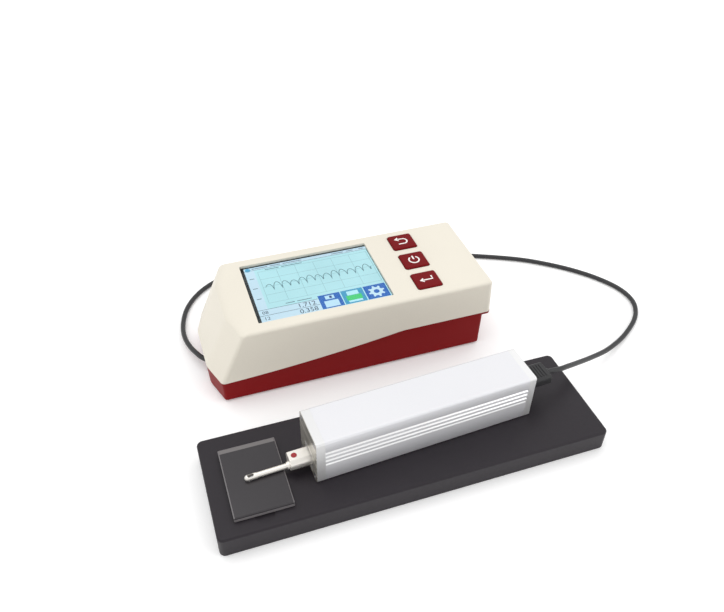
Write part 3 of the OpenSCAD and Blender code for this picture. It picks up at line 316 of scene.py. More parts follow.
def thicken(piece, thickness, offset):
    """Gives a surface a wall in millimetres, inwards at offset -1 and outwards at 1."""
    step = piece.modifiers.new("Wall", "SOLIDIFY")
    step.thickness, step.offset = thickness * MM, offset
    return bake_modifiers(piece)


def cut(piece, tool):
    """Cuts away a helper object, which is then removed."""
    step = piece.modifiers.new("Cut", "BOOLEAN")
    step.operation, step.solver, step.object = "DIFFERENCE", "EXACT", tool
    bake_modifiers(piece)
    mesh = tool.data
    bpy.data.objects.remove(tool)
    bpy.data.meshes.remove(mesh)


def soften(piece, width, angle=35, segments=3):
    """Rounds edges sharper than an angle by a width in millimetres."""
    step = piece.modifiers.new("Edges", "BEVEL")
    step.width, step.segments = width * MM, segments
    step.limit_method, step.angle_limit = "ANGLE", math.radians(angle)
    step.miter_outer = "MITER_ARC"
    bake_modifiers(piece)


def smooth(piece, angle=32):
    """Smooth shading that keeps edges sharper than an angle, with flat faces kept flat."""
    mesh = piece.data
    mesh.polygons.foreach_set("use_smooth", [True] * len(mesh.polygons))
    mesh.set_sharp_from_angle(angle=math.radians(angle))
    step = piece.modifiers.new("Normals", "WEIGHTED_NORMAL")
    step.keep_sharp = True
    bake_modifiers(piece)


def paint(mesh, material):
    mesh.materials.clear()
    mesh.materials.append(material)


def dress(piece, material, body, slot, *replaced):
    """Gives a finished piece its material and body, and hides the solids that it stands for; the record slot is not
    used.
    """
    paint(piece.data, material)
    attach(piece, body)
    if replaced:
        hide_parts(*replaced)
    return piece


# Points closer than this, in millimetres, are one point; faces flatter than this, in degrees, are one face
MERGE_GAP, FLAT_ANGLE = 0.002, 0.6


def softened_solid(node, name, width):
    """Copy of a solid with clean faces and, where a width is given, rounded edges."""
    made = show(bpy.data.objects.new(name, NODES[node].data.copy()))
    made.data.name = name
    shape = bmesh.new()
    shape.from_mesh(made.data)
    bmesh.ops.remove_doubles(shape, verts=shape.verts, dist=MERGE_GAP * MM)
    bmesh.ops.dissolve_limit(shape, angle_limit=math.radians(FLAT_ANGLE), verts=shape.verts, edges=shape.edges)
    shape.to_mesh(made.data)
    shape.free()
    if width:
        soften(made, width)
    smooth(made)
    return made


def round_outline(corners, radii, inset, steps, spans):
    """Counter-clockwise outline set in by a distance, with round corners and evenly divided sides."""
    count = len(corners)
    sides = [(Vector(corners[(i + 1) % count]) - Vector(corners[i])).normalized() for i in range(count)]
    normals = [Vector((s.y, -s.x)) for s in sides]
    arcs = []
    for i, corner in enumerate(corners):
        before, after = normals[i - 1], normals[i]
        radius = max(radii[i] - inset, 0.3)
        centre = Vector(corner) - (inset + radius) * (before + after) / (1 + before.dot(after))
        start = math.atan2(before.y, before.x)
        turn = math.acos(max(-1.0, min(1.0, before.dot(after))))
        arcs.append([centre + radius * Vector((math.cos(start + turn * k / steps), math.sin(start + turn * k / steps)))
                     for k in range(steps + 1)])
    points = []
    for i, arc in enumerate(arcs):
        points += arc
        last, first = arc[-1], arcs[(i + 1) % count][0]
        points += [last.lerp(first, k / spans[i]) for k in range(1, spans[i])]
    return points


def rectangle(width, height):
    return [(width / 2, -height / 2), (width / 2, height / 2), (-width / 2, height / 2), (-width / 2, -height / 2)]


# Steps round each corner of a block, and parts of each of its four sides
BLOCK_STEPS, BLOCK_SPANS = 8, (4, 4, 4, 4)


def rounded_rings(width, height, radius, levels):
    """Rings of a rounded rectangle, one for each (inset, height) level."""
    corners, radii = rectangle(width, height), [radius] * 4
    return [[(p.x, p.y, z) for p in round_outline(corners, radii, inset, BLOCK_STEPS, BLOCK_SPANS)]
            for inset, z in levels]


def ring_faces(rings, closed_low=True, closed_high=True):
    """Points and faces through a stack of rings, from the bottom up."""
    count = len(rings[0])
    faces = []
    for j in range(len(rings) - 1):
        low, high = j * count, (j + 1) * count
        faces += [(low + i, low + (i + 1) % count, high + (i + 1) % count, high + i) for i in range(count)]
    if closed_low:
        faces.append(tuple(range(count - 1, -1, -1)))
    if closed_high:
        faces.append(tuple(range((len(rings) - 1) * count, len(rings) * count)))
    return [p for ring in rings for p in ring], faces


def soft_levels(low, high, edge, low_edge=0.0):
    """Levels of an upright block with a rounded top edge and, if asked, a rounded bottom edge."""
    angles = [math.radians(15 * k) for k in range(7)]
    bottom = [(low_edge * (1 - math.sin(a)), low + low_edge * (1 - math.cos(a))) for a in angles]
    top = [(edge * (1 - math.cos(a)), high - edge + edge * math.sin(a)) for a in angles]
    return (bottom if low_edge else [(0, low)]) + top


def block(name, width, height, radius, levels, place):
    """Rounded block through levels, its points placed by a function."""
    points, faces = ring_faces(rounded_rings(width, height, radius, levels))
    return mesh_object(name, [place(*p) for p in points], faces)


def turns(count):
    return [2 * math.pi * k / count for k in range(count)]


def cylinders(name, spots, diameter, low, high, place, sides=40):
    """Several upright cylinders as one helper."""
    points, faces = [], []
    for x, y in spots:
        rings = [[(x + diameter / 2 * math.cos(a), y + diameter / 2 * math.sin(a), z) for a in turns(sides)]
                 for z in (low, high)]
        more, sheets = ring_faces(rings)
        faces += [tuple(len(points) + i for i in f) for f in sheets]
        points += more
    return mesh_object(name, [place(*p) for p in points], faces)


# The display unit's form, in millimetres from its middle

HALF_L, HALF_W, UNIT_H = 80.5, 31.5, 46.0
PART_NOSE, PART_LEVEL, LEVEL_L = 14.4, 24.5, 54.0
SIDE_LEAN, MID_LEAN, END_LEAN, NOSE_SOFT = 14.0, 14.0, 1.2, 3.0
NOSE_POINT, NOSE_HALF = 5.5, 15.0
SHELL_RADII = (2.5, 2.5, 2.6, 14.0, 14.0, 2.6)
BASE_END, BASE_STEP, BASE_DRAFT, BASE_EDGE = 4.0, 0.4, 0.4, 1.2
LIP_T, LIP_STEP, FOOT_H = 1.5, 0.2, 0.8
CORNER_STEPS, SIDE_SPANS = 12, (16, 44, 6, 12, 6, 44)
WINDOW_L, WINDOW_W, WINDOW_R = 74.4, 49.8, 0.5
KEY_L, KEY_W, KEY_R, KEY_EDGE, KEY_GAP = 14.5, 13.6, 1.4, 0.9, 0.25
KEY_FOOT, KEY_FLANGE, FLANGE_TOP, KEY_TOP = 42.3, 1.0, 43.5, 47.0
KEY_ROWS = {"back_key": KEY_PITCH, "start_key": 0.0, "enter_key": -KEY_PITCH}
CHARGE_L, CHARGE_W, CHARGE_R, CHARGE_Z = 9.2, 3.4, 0.8, 32.8
CASE_POSTS = [(x, side * 21.0) for x in (-58.6, 68.0) for side in (-1, 1)]
FEET = [(x, side * 21.0) for x in (-43.5, 55.5) for side in (-1, 1)]
SCREW_WELL_D, SCREW_WELL_TOP, FOOT_WELL_D, FOOT_WELL_TOP = 5.3, 4.2, 9.1, 1.75
LOWER_WALL, LIP_DEPTH = 1.2, 6.5
BAY_LOW, BAY_HIGH, BAY_R, BAY_WALL = (-82.0, -11.4, 2.8), (-51.0, 5.4, 11.0), 1.2, 0.8
BAY_LINER, BAY_MOUTH = -79.4, -74.0
# Levels of cutting helpers that pass through the top and through the right end
THROUGH_TOP, THROUGH_END = [(0, 40), (0, 50)], [(0, 70), (0, 90)]


def shell_corners(z, soft=0.0):
    """Corners of the upper shell's outline at a height, with the leaning nose drawn back by a distance."""
    t = (z - PART_NOSE) / (UNIT_H - PART_NOSE)
    right = HALF_L - t * END_LEAN
    side = NOSE_POINT - HALF_L + t * SIDE_LEAN + soft
    middle = t * MID_LEAN + soft - HALF_L
    return [(right, -HALF_W), (right, HALF_W), (side, HALF_W), (middle, NOSE_HALF), (middle, -NOSE_HALF),
            (side, -HALF_W)]


BASE_CORNERS = [(HALF_L - BASE_END, -HALF_W), (HALF_L - BASE_END, HALF_W), (NOSE_POINT - HALF_L, HALF_W),
                (-HALF_L, NOSE_HALF), (-HALF_L, -NOSE_HALF), (NOSE_POINT - HALF_L, -HALF_W)]


def unit_ring(corners, inset):
    return round_outline(corners, SHELL_RADII, inset, CORNER_STEPS, SIDE_SPANS)


def parting_z(x):
    """Height of the parting line, which rises along a curve from the nose to its level part."""
    u = min(max((x + HALF_L) / (2 * HALF_L - LEVEL_L), 0), 1)
    return PART_NOSE + (PART_LEVEL - PART_NOSE) * (0.3 * u + 0.7 * u * u)


def upper_rings(edge):
    """Rings of the upper shell, from the parting line to its rounded top edge."""
    low, high, levels, edge_steps = PART_NOSE - 3, UNIT_H - edge, 10, 10
    ends = [unit_ring(shell_corners(z), 0) for z in (low, high)]
    rings = [[] for _ in range(levels + 1)]
    for foot, head in zip(*ends):
        z = PART_LEVEL
        for _ in range(8):
            z = parting_z(foot.lerp(head, (z - low) / (high - low)).x)
        for j, ring in enumerate(rings):
            at = z + (high - z) * j / levels
            p = foot.lerp(head, (at - low) / (high - low))
            ring.append((p.x, p.y, at))
    for k in range(1, edge_steps + 1):
        a = math.radians(90 * k / edge_steps)
        at, bend = high + edge * math.sin(a), 1 - math.cos(a)
        rings.append([(p.x, p.y, at) for p in unit_ring(shell_corners(at, NOSE_SOFT * bend), edge * bend)])
    return rings


def lower_rings(seam):
    """Rings of the lower shell: rounded bottom edge, drafted side, then the lip under the upper shell."""
    rings, edge_steps = [], 8
    for k in range(edge_steps + 1):
        a = math.radians(90 - 90 * k / edge_steps)
        rings.append([(p.x, p.y, FOOT_H + BASE_EDGE * (1 - math.sin(a)))
                      for p in unit_ring(BASE_CORNERS, BASE_STEP + BASE_DRAFT + BASE_EDGE * (1 - math.cos(a)))])
    lower = FOOT_H + BASE_EDGE
    lip = unit_ring(shell_corners(PART_NOSE), LIP_STEP)
    inner = unit_ring(shell_corners(PART_NOSE), LIP_STEP + LIP_DEPTH)
    for share in (0.25, 0.5, 0.75, 1.0):
        ring = []
        for p, q in zip(unit_ring(BASE_CORNERS, BASE_STEP + BASE_DRAFT), unit_ring(BASE_CORNERS, BASE_STEP)):
            z = lower + (parting_z(q.x) - LIP_T - lower) * share
            spot = p.lerp(q, (z - lower) / (PART_LEVEL - lower))
            ring.append((spot.x, spot.y, z))
        rings.append(ring)
    rings.append([(p.x, p.y, parting_z(p.x) - LIP_T) for p in lip])
    rings.append([(p.x, p.y, parting_z(p.x) - seam) for p in lip])
    rings.append([(p.x, p.y, parting_z(p.x) - seam) for p in inner])
    return rings


class TESTER_OT_shells(bpy.types.Operator):
    """Builds the cream upper shell and the red lower shell with its cable bay"""
    bl_idname = "tester.shells"
    bl_label = "Shells"

    def execute(self, context):
        form = context.scene.tester_shell
        points, faces = ring_faces(upper_rings(form.top_edge / MM), closed_low=False)
        upper = mesh_object("upper_shell_skin", [unit_point(*p) for p in points], faces)
        thicken(upper, form.wall / MM, -1)
        cut(upper, block("window", WINDOW_L, WINDOW_W, WINDOW_R, THROUGH_TOP, screen_point))
        for name in KEY_ROWS:
            cut(upper, block("key_hole", KEY_L + 2 * KEY_GAP, KEY_W + 2 * KEY_GAP, KEY_R + KEY_GAP, THROUGH_TOP,
                             key_place(name)))
        cut(upper, block("charge_hole", CHARGE_L, CHARGE_W, CHARGE_R, THROUGH_END,
                         lambda x, y, z: unit_point(z, x, y + CHARGE_Z)))
        soften(upper, 0.3, 50, 2)
        smooth(upper)
        cream = finish_material("cream_plastic", tuple(form.cream), grain=1500.0, rough=0.45, spread=0.12, bump=0.12,
                                specular_ior_level=0.3)
        dress(upper, cream, STILL, "shell_cream", "upper_shell")

        points, faces = ring_faces(lower_rings(form.seam / MM), closed_high=False)
        lower = mesh_object("lower_shell_skin", [unit_point(*p) for p in points], faces)
        thicken(lower, LOWER_WALL, -1)
        _, bay_y, bay_z = ((a + b) / 2 for a, b in zip(BAY_LOW, BAY_HIGH))
        _, bay_w, bay_h = (b - a for a, b in zip(BAY_LOW, BAY_HIGH))

        def bay_point(x, y, z):
            return unit_point(z, x + bay_y, y + bay_z)

        cut(lower, block("bay_mouth", bay_w, bay_h, BAY_R, [(0, BAY_LOW[0]), (0, BAY_MOUTH)], bay_point))
        cut(lower, cylinders("screw_wells", CASE_POSTS, SCREW_WELL_D, -1, SCREW_WELL_TOP, unit_point))
        cut(lower, cylinders("foot_wells", FEET, FOOT_WELL_D, -1, FOOT_WELL_TOP, unit_point))
        soften(lower, 0.25, 50, 2)
        smooth(lower)
        red = finish_material("red_plastic", tuple(form.red), grain=1500.0, rough=0.42, spread=0.12, bump=0.12,
                              specular_ior_level=0.1)
        dress(lower, red, STILL, "shell_red", "lower_shell")

        rings = rounded_rings(bay_w, bay_h, BAY_R, [(0, BAY_LINER), (0, BAY_HIGH[0])])
        points, faces = ring_faces(rings, closed_low=False)
        bay = mesh_object("cable_bay_liner", [bay_point(*p) for p in points], [tuple(reversed(f)) for f in faces])
        thicken(bay, BAY_WALL, -1)
        smooth(bay)
        dress(bay, red, STILL, "shell_red")
        return {"FINISHED"}


def heading(line, i):
    """Direction of a line of points at one of them."""
    return (line[min(i + 1, len(line) - 1)] - line[max(i - 1, 0)]).normalized()


def ribbon(points, width):
    """Flat strip along a line of points, as points and faces."""
    line = [Vector(p) for p in points]
    verts = []
    for i, p in enumerate(line):
        ahead = heading(line, i)
        side = Vector((-ahead.y, ahead.x)) * width / 2
        verts += [(p.x + side.x, p.y + side.y, 0), (p.x - side.x, p.y - side.y, 0)]
    return verts, [(2 * i + 1, 2 * i + 3, 2 * i + 2, 2 * i) for i in range(len(line) - 1)]


def flat_face(points):
    return [(x, y, 0) for x, y in points], [tuple(range(len(points)))]


def patch(x, y, w, h):
    """Flat rectangle from its lower left corner."""
    return flat_face([(x, y), (x + w, y), (x + w, y + h), (x, y + h)])


def arc(x, y, radius, start, end, steps=28):
    return [(x + radius * math.cos(math.radians(start + (end - start) * k / steps)),
             y + radius * math.sin(math.radians(start + (end - start) * k / steps))) for k in range(steps + 1)]


def flat_piece(name, shapes, place, thickness=0.04):
    """One thin piece from several flat shapes."""
    points, faces = [], []
    for verts, sheets in shapes:
        faces += [tuple(len(points) + i for i in f) for f in sheets]
        points += verts
    made = mesh_object(name, [place(*p) for p in points], faces)
    shape = bmesh.new()
    shape.from_mesh(made.data)
    bmesh.ops.recalc_face_normals(shape, faces=shape.faces)
    for face in shape.faces:
        if face.normal.z < 0:
            face.normal_flip()
    shape.to_mesh(made.data)
    shape.free()
    return thicken(made, thickness, 1)


KEY_SIGNS = {
    "enter_key": [ribbon([(3.4, 2.2), (3.4, -0.6), (-2.2, -0.6)], 0.9),
                  flat_face([(-4.2, -0.6), (-1.8, -2.4), (-1.8, 1.2)])],
    "start_key": [ribbon(arc(0, -0.2, 2.9, 125, 415), 0.85), ribbon([(0, 3.4), (0, 0.2)], 0.9)],
    "back_key": [ribbon(arc(0.6, -0.1, 2.3, -90, 90), 0.85), ribbon([(0.7, 2.2), (-2.2, 2.2)], 0.85),
                 flat_face([(-4.2, 2.2), (-1.8, 0.4), (-1.8, 4.0)]), ribbon([(0.7, -2.4), (-2.8, -2.4)], 0.85)],
}


def key_place(name):
    """Function that places points of one key's frame, in millimetres from its middle."""
    return lambda x, y, z: unit_point(x + KEY_X, y + KEY_ROWS[name], z)


class TESTER_OT_keys(bpy.types.Operator):
    """Builds the three keys and their plain signs"""
    bl_idname = "tester.keys"
    bl_label = "Keys"

    def execute(self, context):
        red = finish_material("key_plastic", tuple(context.scene.tester_shell.key_red), grain=1200.0, rough=0.4,
                              spread=0.1, bump=0.08, specular_ior_level=0.12)
        white = finish_material("sign_ink", srgb(244, 240, 236), grain=2000.0, rough=0.5, spread=0.1, bump=0.05)
        levels = [(-KEY_FLANGE, KEY_FOOT), (-KEY_FLANGE, FLANGE_TOP), (0, FLANGE_TOP)]
        levels += soft_levels(FLANGE_TOP + 0.2, KEY_TOP, KEY_EDGE)
        for name in KEY_ROWS:
            place = key_place(name)
            cap = block(name + "_cap", KEY_L, KEY_W, KEY_R, levels, place)
            smooth(cap, 50)
            dress(cap, red, name + "_body", "key_red", name)
            sign = flat_piece(name + "_sign", KEY_SIGNS[name], lambda x, y, z: place(x, y, z + KEY_TOP))
            dress(sign, white, name + "_body", "key_red")
        return {"FINISHED"}


# Geometry node trees


def node_tree(name, inputs):
    """Empty geometry tree with named inputs; returns the tree, its input and output nodes and its sockets."""
    tree = bpy.data.node_groups.new(name, "GeometryNodeTree")
    tree.interface.new_socket(name="Geometry", in_out="INPUT", socket_type="NodeSocketGeometry")
    sockets = {n: tree.interface.new_socket(name=n, in_out="INPUT", socket_type=kind) for n, kind in inputs}
    tree.interface.new_socket(name="Geometry", in_out="OUTPUT", socket_type="NodeSocketGeometry")
    return tree, add_node(tree, "NodeGroupInput"), add_node(tree, "NodeGroupOutput"), sockets


def end_tree(tree, last, output, outside, material):
    """Closes a tree with Realize Instances and Set Material."""
    real = add_node(tree, "GeometryNodeRealizeInstances")
    coat = add_node(tree, "GeometryNodeSetMaterial", Material=material)
    wire(tree, (last, output, real, "Geometry"), (real, "Geometry", coat, "Geometry"),
         (coat, "Geometry", outside, "Geometry"))


def grown(name, tree, sockets, values):
    """Plain mesh object that a geometry tree makes, with its inputs set by name."""
    piece = mesh_object(name, [(0, 0, 0)], [])
    step = piece.modifiers.new("Nodes", "NODES")
    step.node_group = tree
    for key, value in values.items():
        step[sockets[key].identifier] = value
    return bake_modifiers(piece)


def grid_tree(material):
    """Rows and columns of thin bars over a rectangle."""
    tree, inside, outside, sockets = node_tree("Screen Grid", [
        ("Width", "NodeSocketFloat"), ("Height", "NodeSocketFloat"), ("Columns", "NodeSocketInt"),
        ("Rows", "NodeSocketInt"), ("Line", "NodeSocketFloat")])
    join = add_node(tree, "GeometryNodeJoinGeometry")
    for axis, other, span, count, long in (("X", "Y", "Width", "Columns", "Height"),
                                           ("Y", "X", "Height", "Rows", "Width")):
        steps = add_node(tree, "ShaderNodeMath", [(1, 1)], operation="ADD")
        pitch = add_node(tree, "ShaderNodeMath", operation="DIVIDE")
        offset = add_node(tree, "ShaderNodeCombineXYZ")
        half = add_node(tree, "ShaderNodeMath", [(1, -0.5)], operation="MULTIPLY")
        start = add_node(tree, "ShaderNodeCombineXYZ")
        line = add_node(tree, "GeometryNodeMeshLine")
        bar = add_node(tree, "GeometryNodeMeshCube")
        size = add_node(tree, "ShaderNodeCombineXYZ", Z=0.03 * MM)
        put = add_node(tree, "GeometryNodeInstanceOnPoints")
        wire(tree, (inside, count, steps, 0), (inside, span, pitch, 0), (inside, count, pitch, 1),
             (pitch, 0, offset, axis), (inside, span, half, 0), (half, 0, start, axis), (steps, 0, line, "Count"),
             (start, 0, line, "Start Location"), (offset, 0, line, "Offset"), (inside, "Line", size, axis),
             (inside, long, size, other), (size, 0, bar, "Size"), (line, "Mesh", put, "Points"),
             (bar, "Mesh", put, "Instance"), (put, "Instances", join, "Geometry"))
    end_tree(tree, join, "Geometry", outside, material)
    return tree, sockets


def screen_point(x, y, z):
    return unit_point(x + SCREEN_X, y, z)


def picture_point(x, y, z):
    """Point of the picture, which is set a little to the back and right to clear the window's rim."""
    return screen_point(x + 0.5, y + 2.3, z)


def gear_outline(x, y, radius, teeth=8):
    points = []
    for k in range(teeth):
        for share, reach in ((0.0, 0.74), (0.16, 1.0), (0.42, 1.0), (0.58, 0.74)):
            a = 2 * math.pi * (k + share) / teeth
            points.append((x + radius * reach * math.cos(a), y + radius * reach * math.sin(a)))
    return points


def digits(name, rows, place):
    """Rows of plain numbers as one thin mesh; each row is (text, right end, base line, height)."""
    parts = []
    for text, x, y, size in rows:
        curve = bpy.data.curves.new("digits", "FONT")
        curve.body, curve.size, curve.align_x = text, size, "RIGHT"
        helper = show(bpy.data.objects.new("digits", curve))
        bpy.context.view_layer.update()
        mesh = bpy.data.meshes.new_from_object(helper.evaluated_get(bpy.context.evaluated_depsgraph_get()))
        parts.append(([(v.co.x + x, v.co.y + y, 0) for v in mesh.vertices], [tuple(p.vertices) for p in mesh.polygons]))
        bpy.data.objects.remove(helper)
        bpy.data.curves.remove(curve)
        bpy.data.meshes.remove(mesh)
    return flat_piece(name, parts, place)


# The trace on the picture: left end, length, base line, rise of its humps, depth of its valleys and their number
TRACE_LEFT, TRACE_L, TRACE_BASE, TRACE_RISE, TRACE_VALLEY = -27.0, 61.0, 0.6, 5.4, 2.2
TRACE_HUMPS, TRACE_STEPS = 13, 360


def trace_line():
    """Row of round, slightly uneven humps with sharp valleys between them."""
    line = []
    for k in range(TRACE_STEPS + 1):
        u = k / TRACE_STEPS
        hump = abs(math.sin(math.pi * TRACE_HUMPS * u + 0.4)) ** 0.55
        rise = TRACE_RISE * hump * (0.86 + 0.14 * math.sin(5 + 23 * u))
        line.append((TRACE_LEFT + TRACE_L * u, TRACE_BASE + rise - TRACE_VALLEY * (1 - hump) ** 3))
    return line


# The panel's levels, its margin round the window, its roundings, and the step and thickness of the picture's layers
PANEL_LOW, PANEL_TOP, PANEL_MARGIN, PANEL_R, PANEL_EDGE = 40.8, 43.6, 2.2, 0.6, 0.2
LAYER, FILM = 0.02, 0.015
# The picture's left edge and the lines under its header and numbers
LEFT, HEADER, NUMBER_LINES = -35.5, 19.6, (-15.4, -20.1)
ICON_Y, ICON_H, ICON_BLUE = -24.6, 11.4, (38, 104, 190)
GRID_MIDDLE, GRID_SIZE, GRID_LINE = (3.6, 3.2), (64.0, 28.0), 0.28
# Short bars round the grid: left end, height on the picture and length
BARS = ((-31.0, 20.9, 9.0), (-20.5, 20.9, 6.0), (-13.0, 20.9, 11.0), (16.0, 20.9, 7.0), (25.0, 20.9, 4.0),
        (32.5, 20.9, 3.0), (-24.0, 18.3, 8.0), (-14.5, 18.3, 12.0), (-20.0, -13.6, 5.0), (-13.6, -13.6, 8.0),
        (-34.0, 12.0, 2.6), (-34.0, 3.2, 2.6), (-34.0, -6.0, 2.6))
# Numbers: text, right end, base line and height
NUMBERS = (("1.712", -4.4, -19.3, 4.6), ("0.358", -4.4, -24.2, 4.6), ("08", -30.4, -18.9, 3.4),
           ("12", -30.4, -23.7, 3.4))
RULES = [ribbon([(LEFT, y), (-2.8, y)], 0.3) for y in NUMBER_LINES] + [ribbon([(LEFT, HEADER), (37.0, HEADER)], 0.25)]
# The picture's plain pieces: shapes, colour, share of the backlight and layer
PICTURE = {
    "screen_header": ([patch(LEFT, HEADER, 72.5, 2.6), patch(LEFT, -27.2, 33.0, 11.8), patch(LEFT, -15.2, 5.4, 34.6)],
                      (206, 232, 246), 1, 1),
    "screen_rules": (RULES + [ribbon([(x, y), (x + w, y)], 0.55) for x, y, w in BARS], (96, 128, 146), 0.9, 3),
    "screen_badge": ([flat_face(arc(-33.4, 20.4, 1.6, 0, 345, 23))], (92, 176, 214), 1, 3),
    "icon_save_ground": ([patch(-2.4, ICON_Y, 12.3, ICON_H)], ICON_BLUE, 1, 1),
    "icon_print_ground": ([patch(10.5, ICON_Y, 12.3, ICON_H)], (66, 158, 200), 1, 1),
    "icon_set_ground": ([patch(23.4, ICON_Y, 12.7, ICON_H)], ICON_BLUE, 1, 1),
    "icon_save_sign": ([patch(-0.2, -23.8, 7.9, 5.2), patch(1.2, -17.4, 5.1, 3.0)], (196, 232, 250), 1, 3),
    "icon_save_notch": ([patch(3.6, -16.8, 1.4, 1.9)], (22, 60, 130), 1, 4),
    "icon_print_sign": ([patch(13.4, -17.8, 6.5, 3.4), patch(12.8, -23.6, 7.7, 1.5)], (190, 240, 250), 1, 3),
    "icon_print_body": ([patch(12.3, -22.0, 8.7, 4.0)], (70, 210, 120), 1, 3),
    "icon_set_sign": ([flat_face(gear_outline(29.7, -19.0, 4.7))], (206, 234, 248), 1, 3),
    "icon_set_hub": ([flat_face(arc(29.7, -19.0, 1.6, 0, 345, 23))], ICON_BLUE, 1, 4),
}


class TESTER_OT_screen(bpy.types.Operator):
    """Builds the display panel and its picture: grid, trace, numbers and plain icons"""
    bl_idname = "tester.screen"
    bl_label = "Screen"

    def execute(self, context):
        look = context.scene.tester_screen
        dark = finish_material("panel_black", srgb(26, 32, 34), grain=1500.0, rough=0.4, spread=0.1, bump=0.05)
        panel = block("display_panel_slab", WINDOW_L + 2 * PANEL_MARGIN, WINDOW_W + 2 * PANEL_MARGIN, PANEL_R,
                      soft_levels(PANEL_LOW, PANEL_TOP, PANEL_EDGE), screen_point)
        smooth(panel, 50)
        dress(panel, dark, STILL, "panel_dark", "display_panel")

        def lit(name, shapes, base, share, layer):
            piece = flat_piece(name, shapes, lambda x, y, z: picture_point(x, y, z + PANEL_TOP + LAYER * layer), FILM)
            dress(piece, light_material(name + "_light", base, look.backlight * share), STILL, "screen")

        lit("screen_ground", [patch(LEFT, -27.2, 72.2, 49.4)], tuple(look.ground), 1, 0)
        lit("screen_trace", [ribbon(trace_line(), 0.42)], tuple(look.trace), 1, 3)
        for name, (shapes, base, share, layer) in PICTURE.items():
            lit(name, shapes, srgb(*base), share, layer)
        tree, sockets = grid_tree(light_material("screen_grid_light", tuple(look.grid), look.backlight))
        grid = grown("screen_grid", tree, sockets, {
            "Width": GRID_SIZE[0] * MM, "Height": GRID_SIZE[1] * MM, "Columns": look.columns, "Rows": look.rows,
            "Line": GRID_LINE * MM})
        grid.data.transform(Matrix.Translation(picture_point(*GRID_MIDDLE, PANEL_TOP + 3 * LAYER)))
        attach(grid, STILL)
        numbers = digits("screen_numbers", NUMBERS, lambda x, y, z: picture_point(x, y, z + PANEL_TOP + 3.5 * LAYER))
        ink = light_material("screen_number_light", srgb(58, 84, 110), look.backlight * 0.8)
        dress(numbers, ink, STILL, "screen")
        glass = finish_material("screen_cover", (0.93, 0.97, 0.98), tint=(0.9, 0.95, 0.97), grain=60.0, rough=0.04,
                                spread=0.02, bump=0.01, transmission_weight=1.0, ior=1.12)
        paint(NODES["screen_glass"].data, glass)
        return {"FINISHED"}


# Plate and tile, in millimetres; the tile's ground edges, and a painted reflection low on its front wall, are films on
# its walls
PLATE_L, PLATE_W, PLATE_H, PLATE_Y = 198.0, 59.0, 12.0, -47.0
PLATE_R, PLATE_EDGE, PLATE_FOOT_EDGE = 3.0, 1.2, 0.5
TILE_L, TILE_W, TILE_T, TILE_X, TILE_Y = 28.0, 40.0, 3.4, -76.0, -48.8
TILE_R, TILE_EDGE = 0.5, 0.5
SEAT_DEPTH, SEAT_GAP, SEAT_R, NOTCH_D = 0.6, 0.3, 0.4, 9.0
TILE_LOW, OVER_PLATE = PLATE_H - SEAT_DEPTH, PLATE_H + 8.0
TILE_TOP = TILE_LOW + TILE_T
FILM_OFF = 0.02
# Films for the ground edges and for the painted reflection: whether on the front wall, and their (inset, height) levels
GROUND_EDGES_AND_REFLECTION = {
    # Pale band low on the front wall: painted reflection of the bright surroundings on the glass
    "specimen_front_reflection": (True, [(-FILM_OFF, PLATE_H + 0.1), (-FILM_OFF, PLATE_H + 1.8)]),
    "specimen_rim": (False, [(-FILM_OFF, TILE_TOP - 1.0), (-FILM_OFF, TILE_TOP - TILE_EDGE),
                             (TILE_EDGE - FILM_OFF, TILE_TOP + FILM)]),
}


def bench_point(x, y, z):
    return Vector((x, y, z)) * MM


def tile_point(x, y, z):
    return bench_point(x + TILE_X, y + TILE_Y, z)


class TESTER_OT_plate(bpy.types.Operator):
    """Builds the stand plate with its tile seat, and the glass specimen tile"""
    bl_idname = "tester.plate"
    bl_label = "Plate and tile"

    def execute(self, context):
        look = context.scene.tester_bench
        levels = soft_levels(0.0, PLATE_H, PLATE_EDGE, PLATE_FOOT_EDGE)
        plate = block("stand_plate", PLATE_L, PLATE_W, PLATE_R, levels, lambda x, y, z: bench_point(x, y + PLATE_Y, z))
        cut(plate, block("seat", TILE_L + SEAT_GAP, TILE_W + SEAT_GAP, SEAT_R, [(0, TILE_LOW), (0, OVER_PLATE)],
                         tile_point))
        cut(plate, cylinders("notch", [(0, -TILE_W / 2)], NOTCH_D, TILE_LOW, OVER_PLATE, tile_point))
        smooth(plate, 40)
        coat = finish_material("plate_coating", tuple(look.plate), tint=tuple(0.7 * c for c in look.plate), grain=700.0,
                               rough=0.46, spread=0.16, bump=0.25, depth=0.03, specular_ior_level=0.3)
        dress(plate, coat, STILL, "plate_black", "base_plate")

        levels = [(TILE_EDGE, TILE_LOW), (0, TILE_LOW + TILE_EDGE), (0, TILE_TOP - TILE_EDGE), (TILE_EDGE, TILE_TOP)]
        tile = block("specimen_glass", TILE_L, TILE_W, TILE_R, levels, tile_point)
        smooth(tile, 20)
        glass = finish_material("specimen_finish", tuple(look.tile), tint=tuple(0.8 * c for c in look.tile),
                                grain=500.0, rough=0.22, spread=0.12, bump=0.03, coat_weight=0.2,
                                coat_roughness=0.08, specular_ior_level=0.35)
        # Painted highlight: a pale band along the back of the top stands in for the ground far wall seen through the
        # glass
        back = TILE_Y + TILE_W / 2
        second_finish(glass, band_share(glass, (0, 1, 0), back - 2.9, back - 2.6), (*srgb(112, 108, 108), 1), 0.4)
        dress(tile, glass, STILL, "tile_glass", "specimen_tile")
        # The ground edges and the painted reflection on the front wall share this material
        ground = finish_material("ground_edge_and_reflection", srgb(122, 118, 120), grain=2400.0, rough=0.6, spread=0.2, bump=0.3)
        for name, (in_front, levels) in GROUND_EDGES_AND_REFLECTION.items():
            points, faces = ring_faces(rounded_rings(TILE_L, TILE_W, TILE_R, levels), False, False)
            faces = [f for f in faces if (max(points[i][1] for i in f) < 0.6 - TILE_W / 2) == in_front]
            edge = mesh_object(name, [tile_point(*p) for p in points], faces)
            thicken(edge, FILM, 1)
            smooth(edge, 20)
            dress(edge, ground, STILL, "tile_glass")
        return {"FINISHED"}


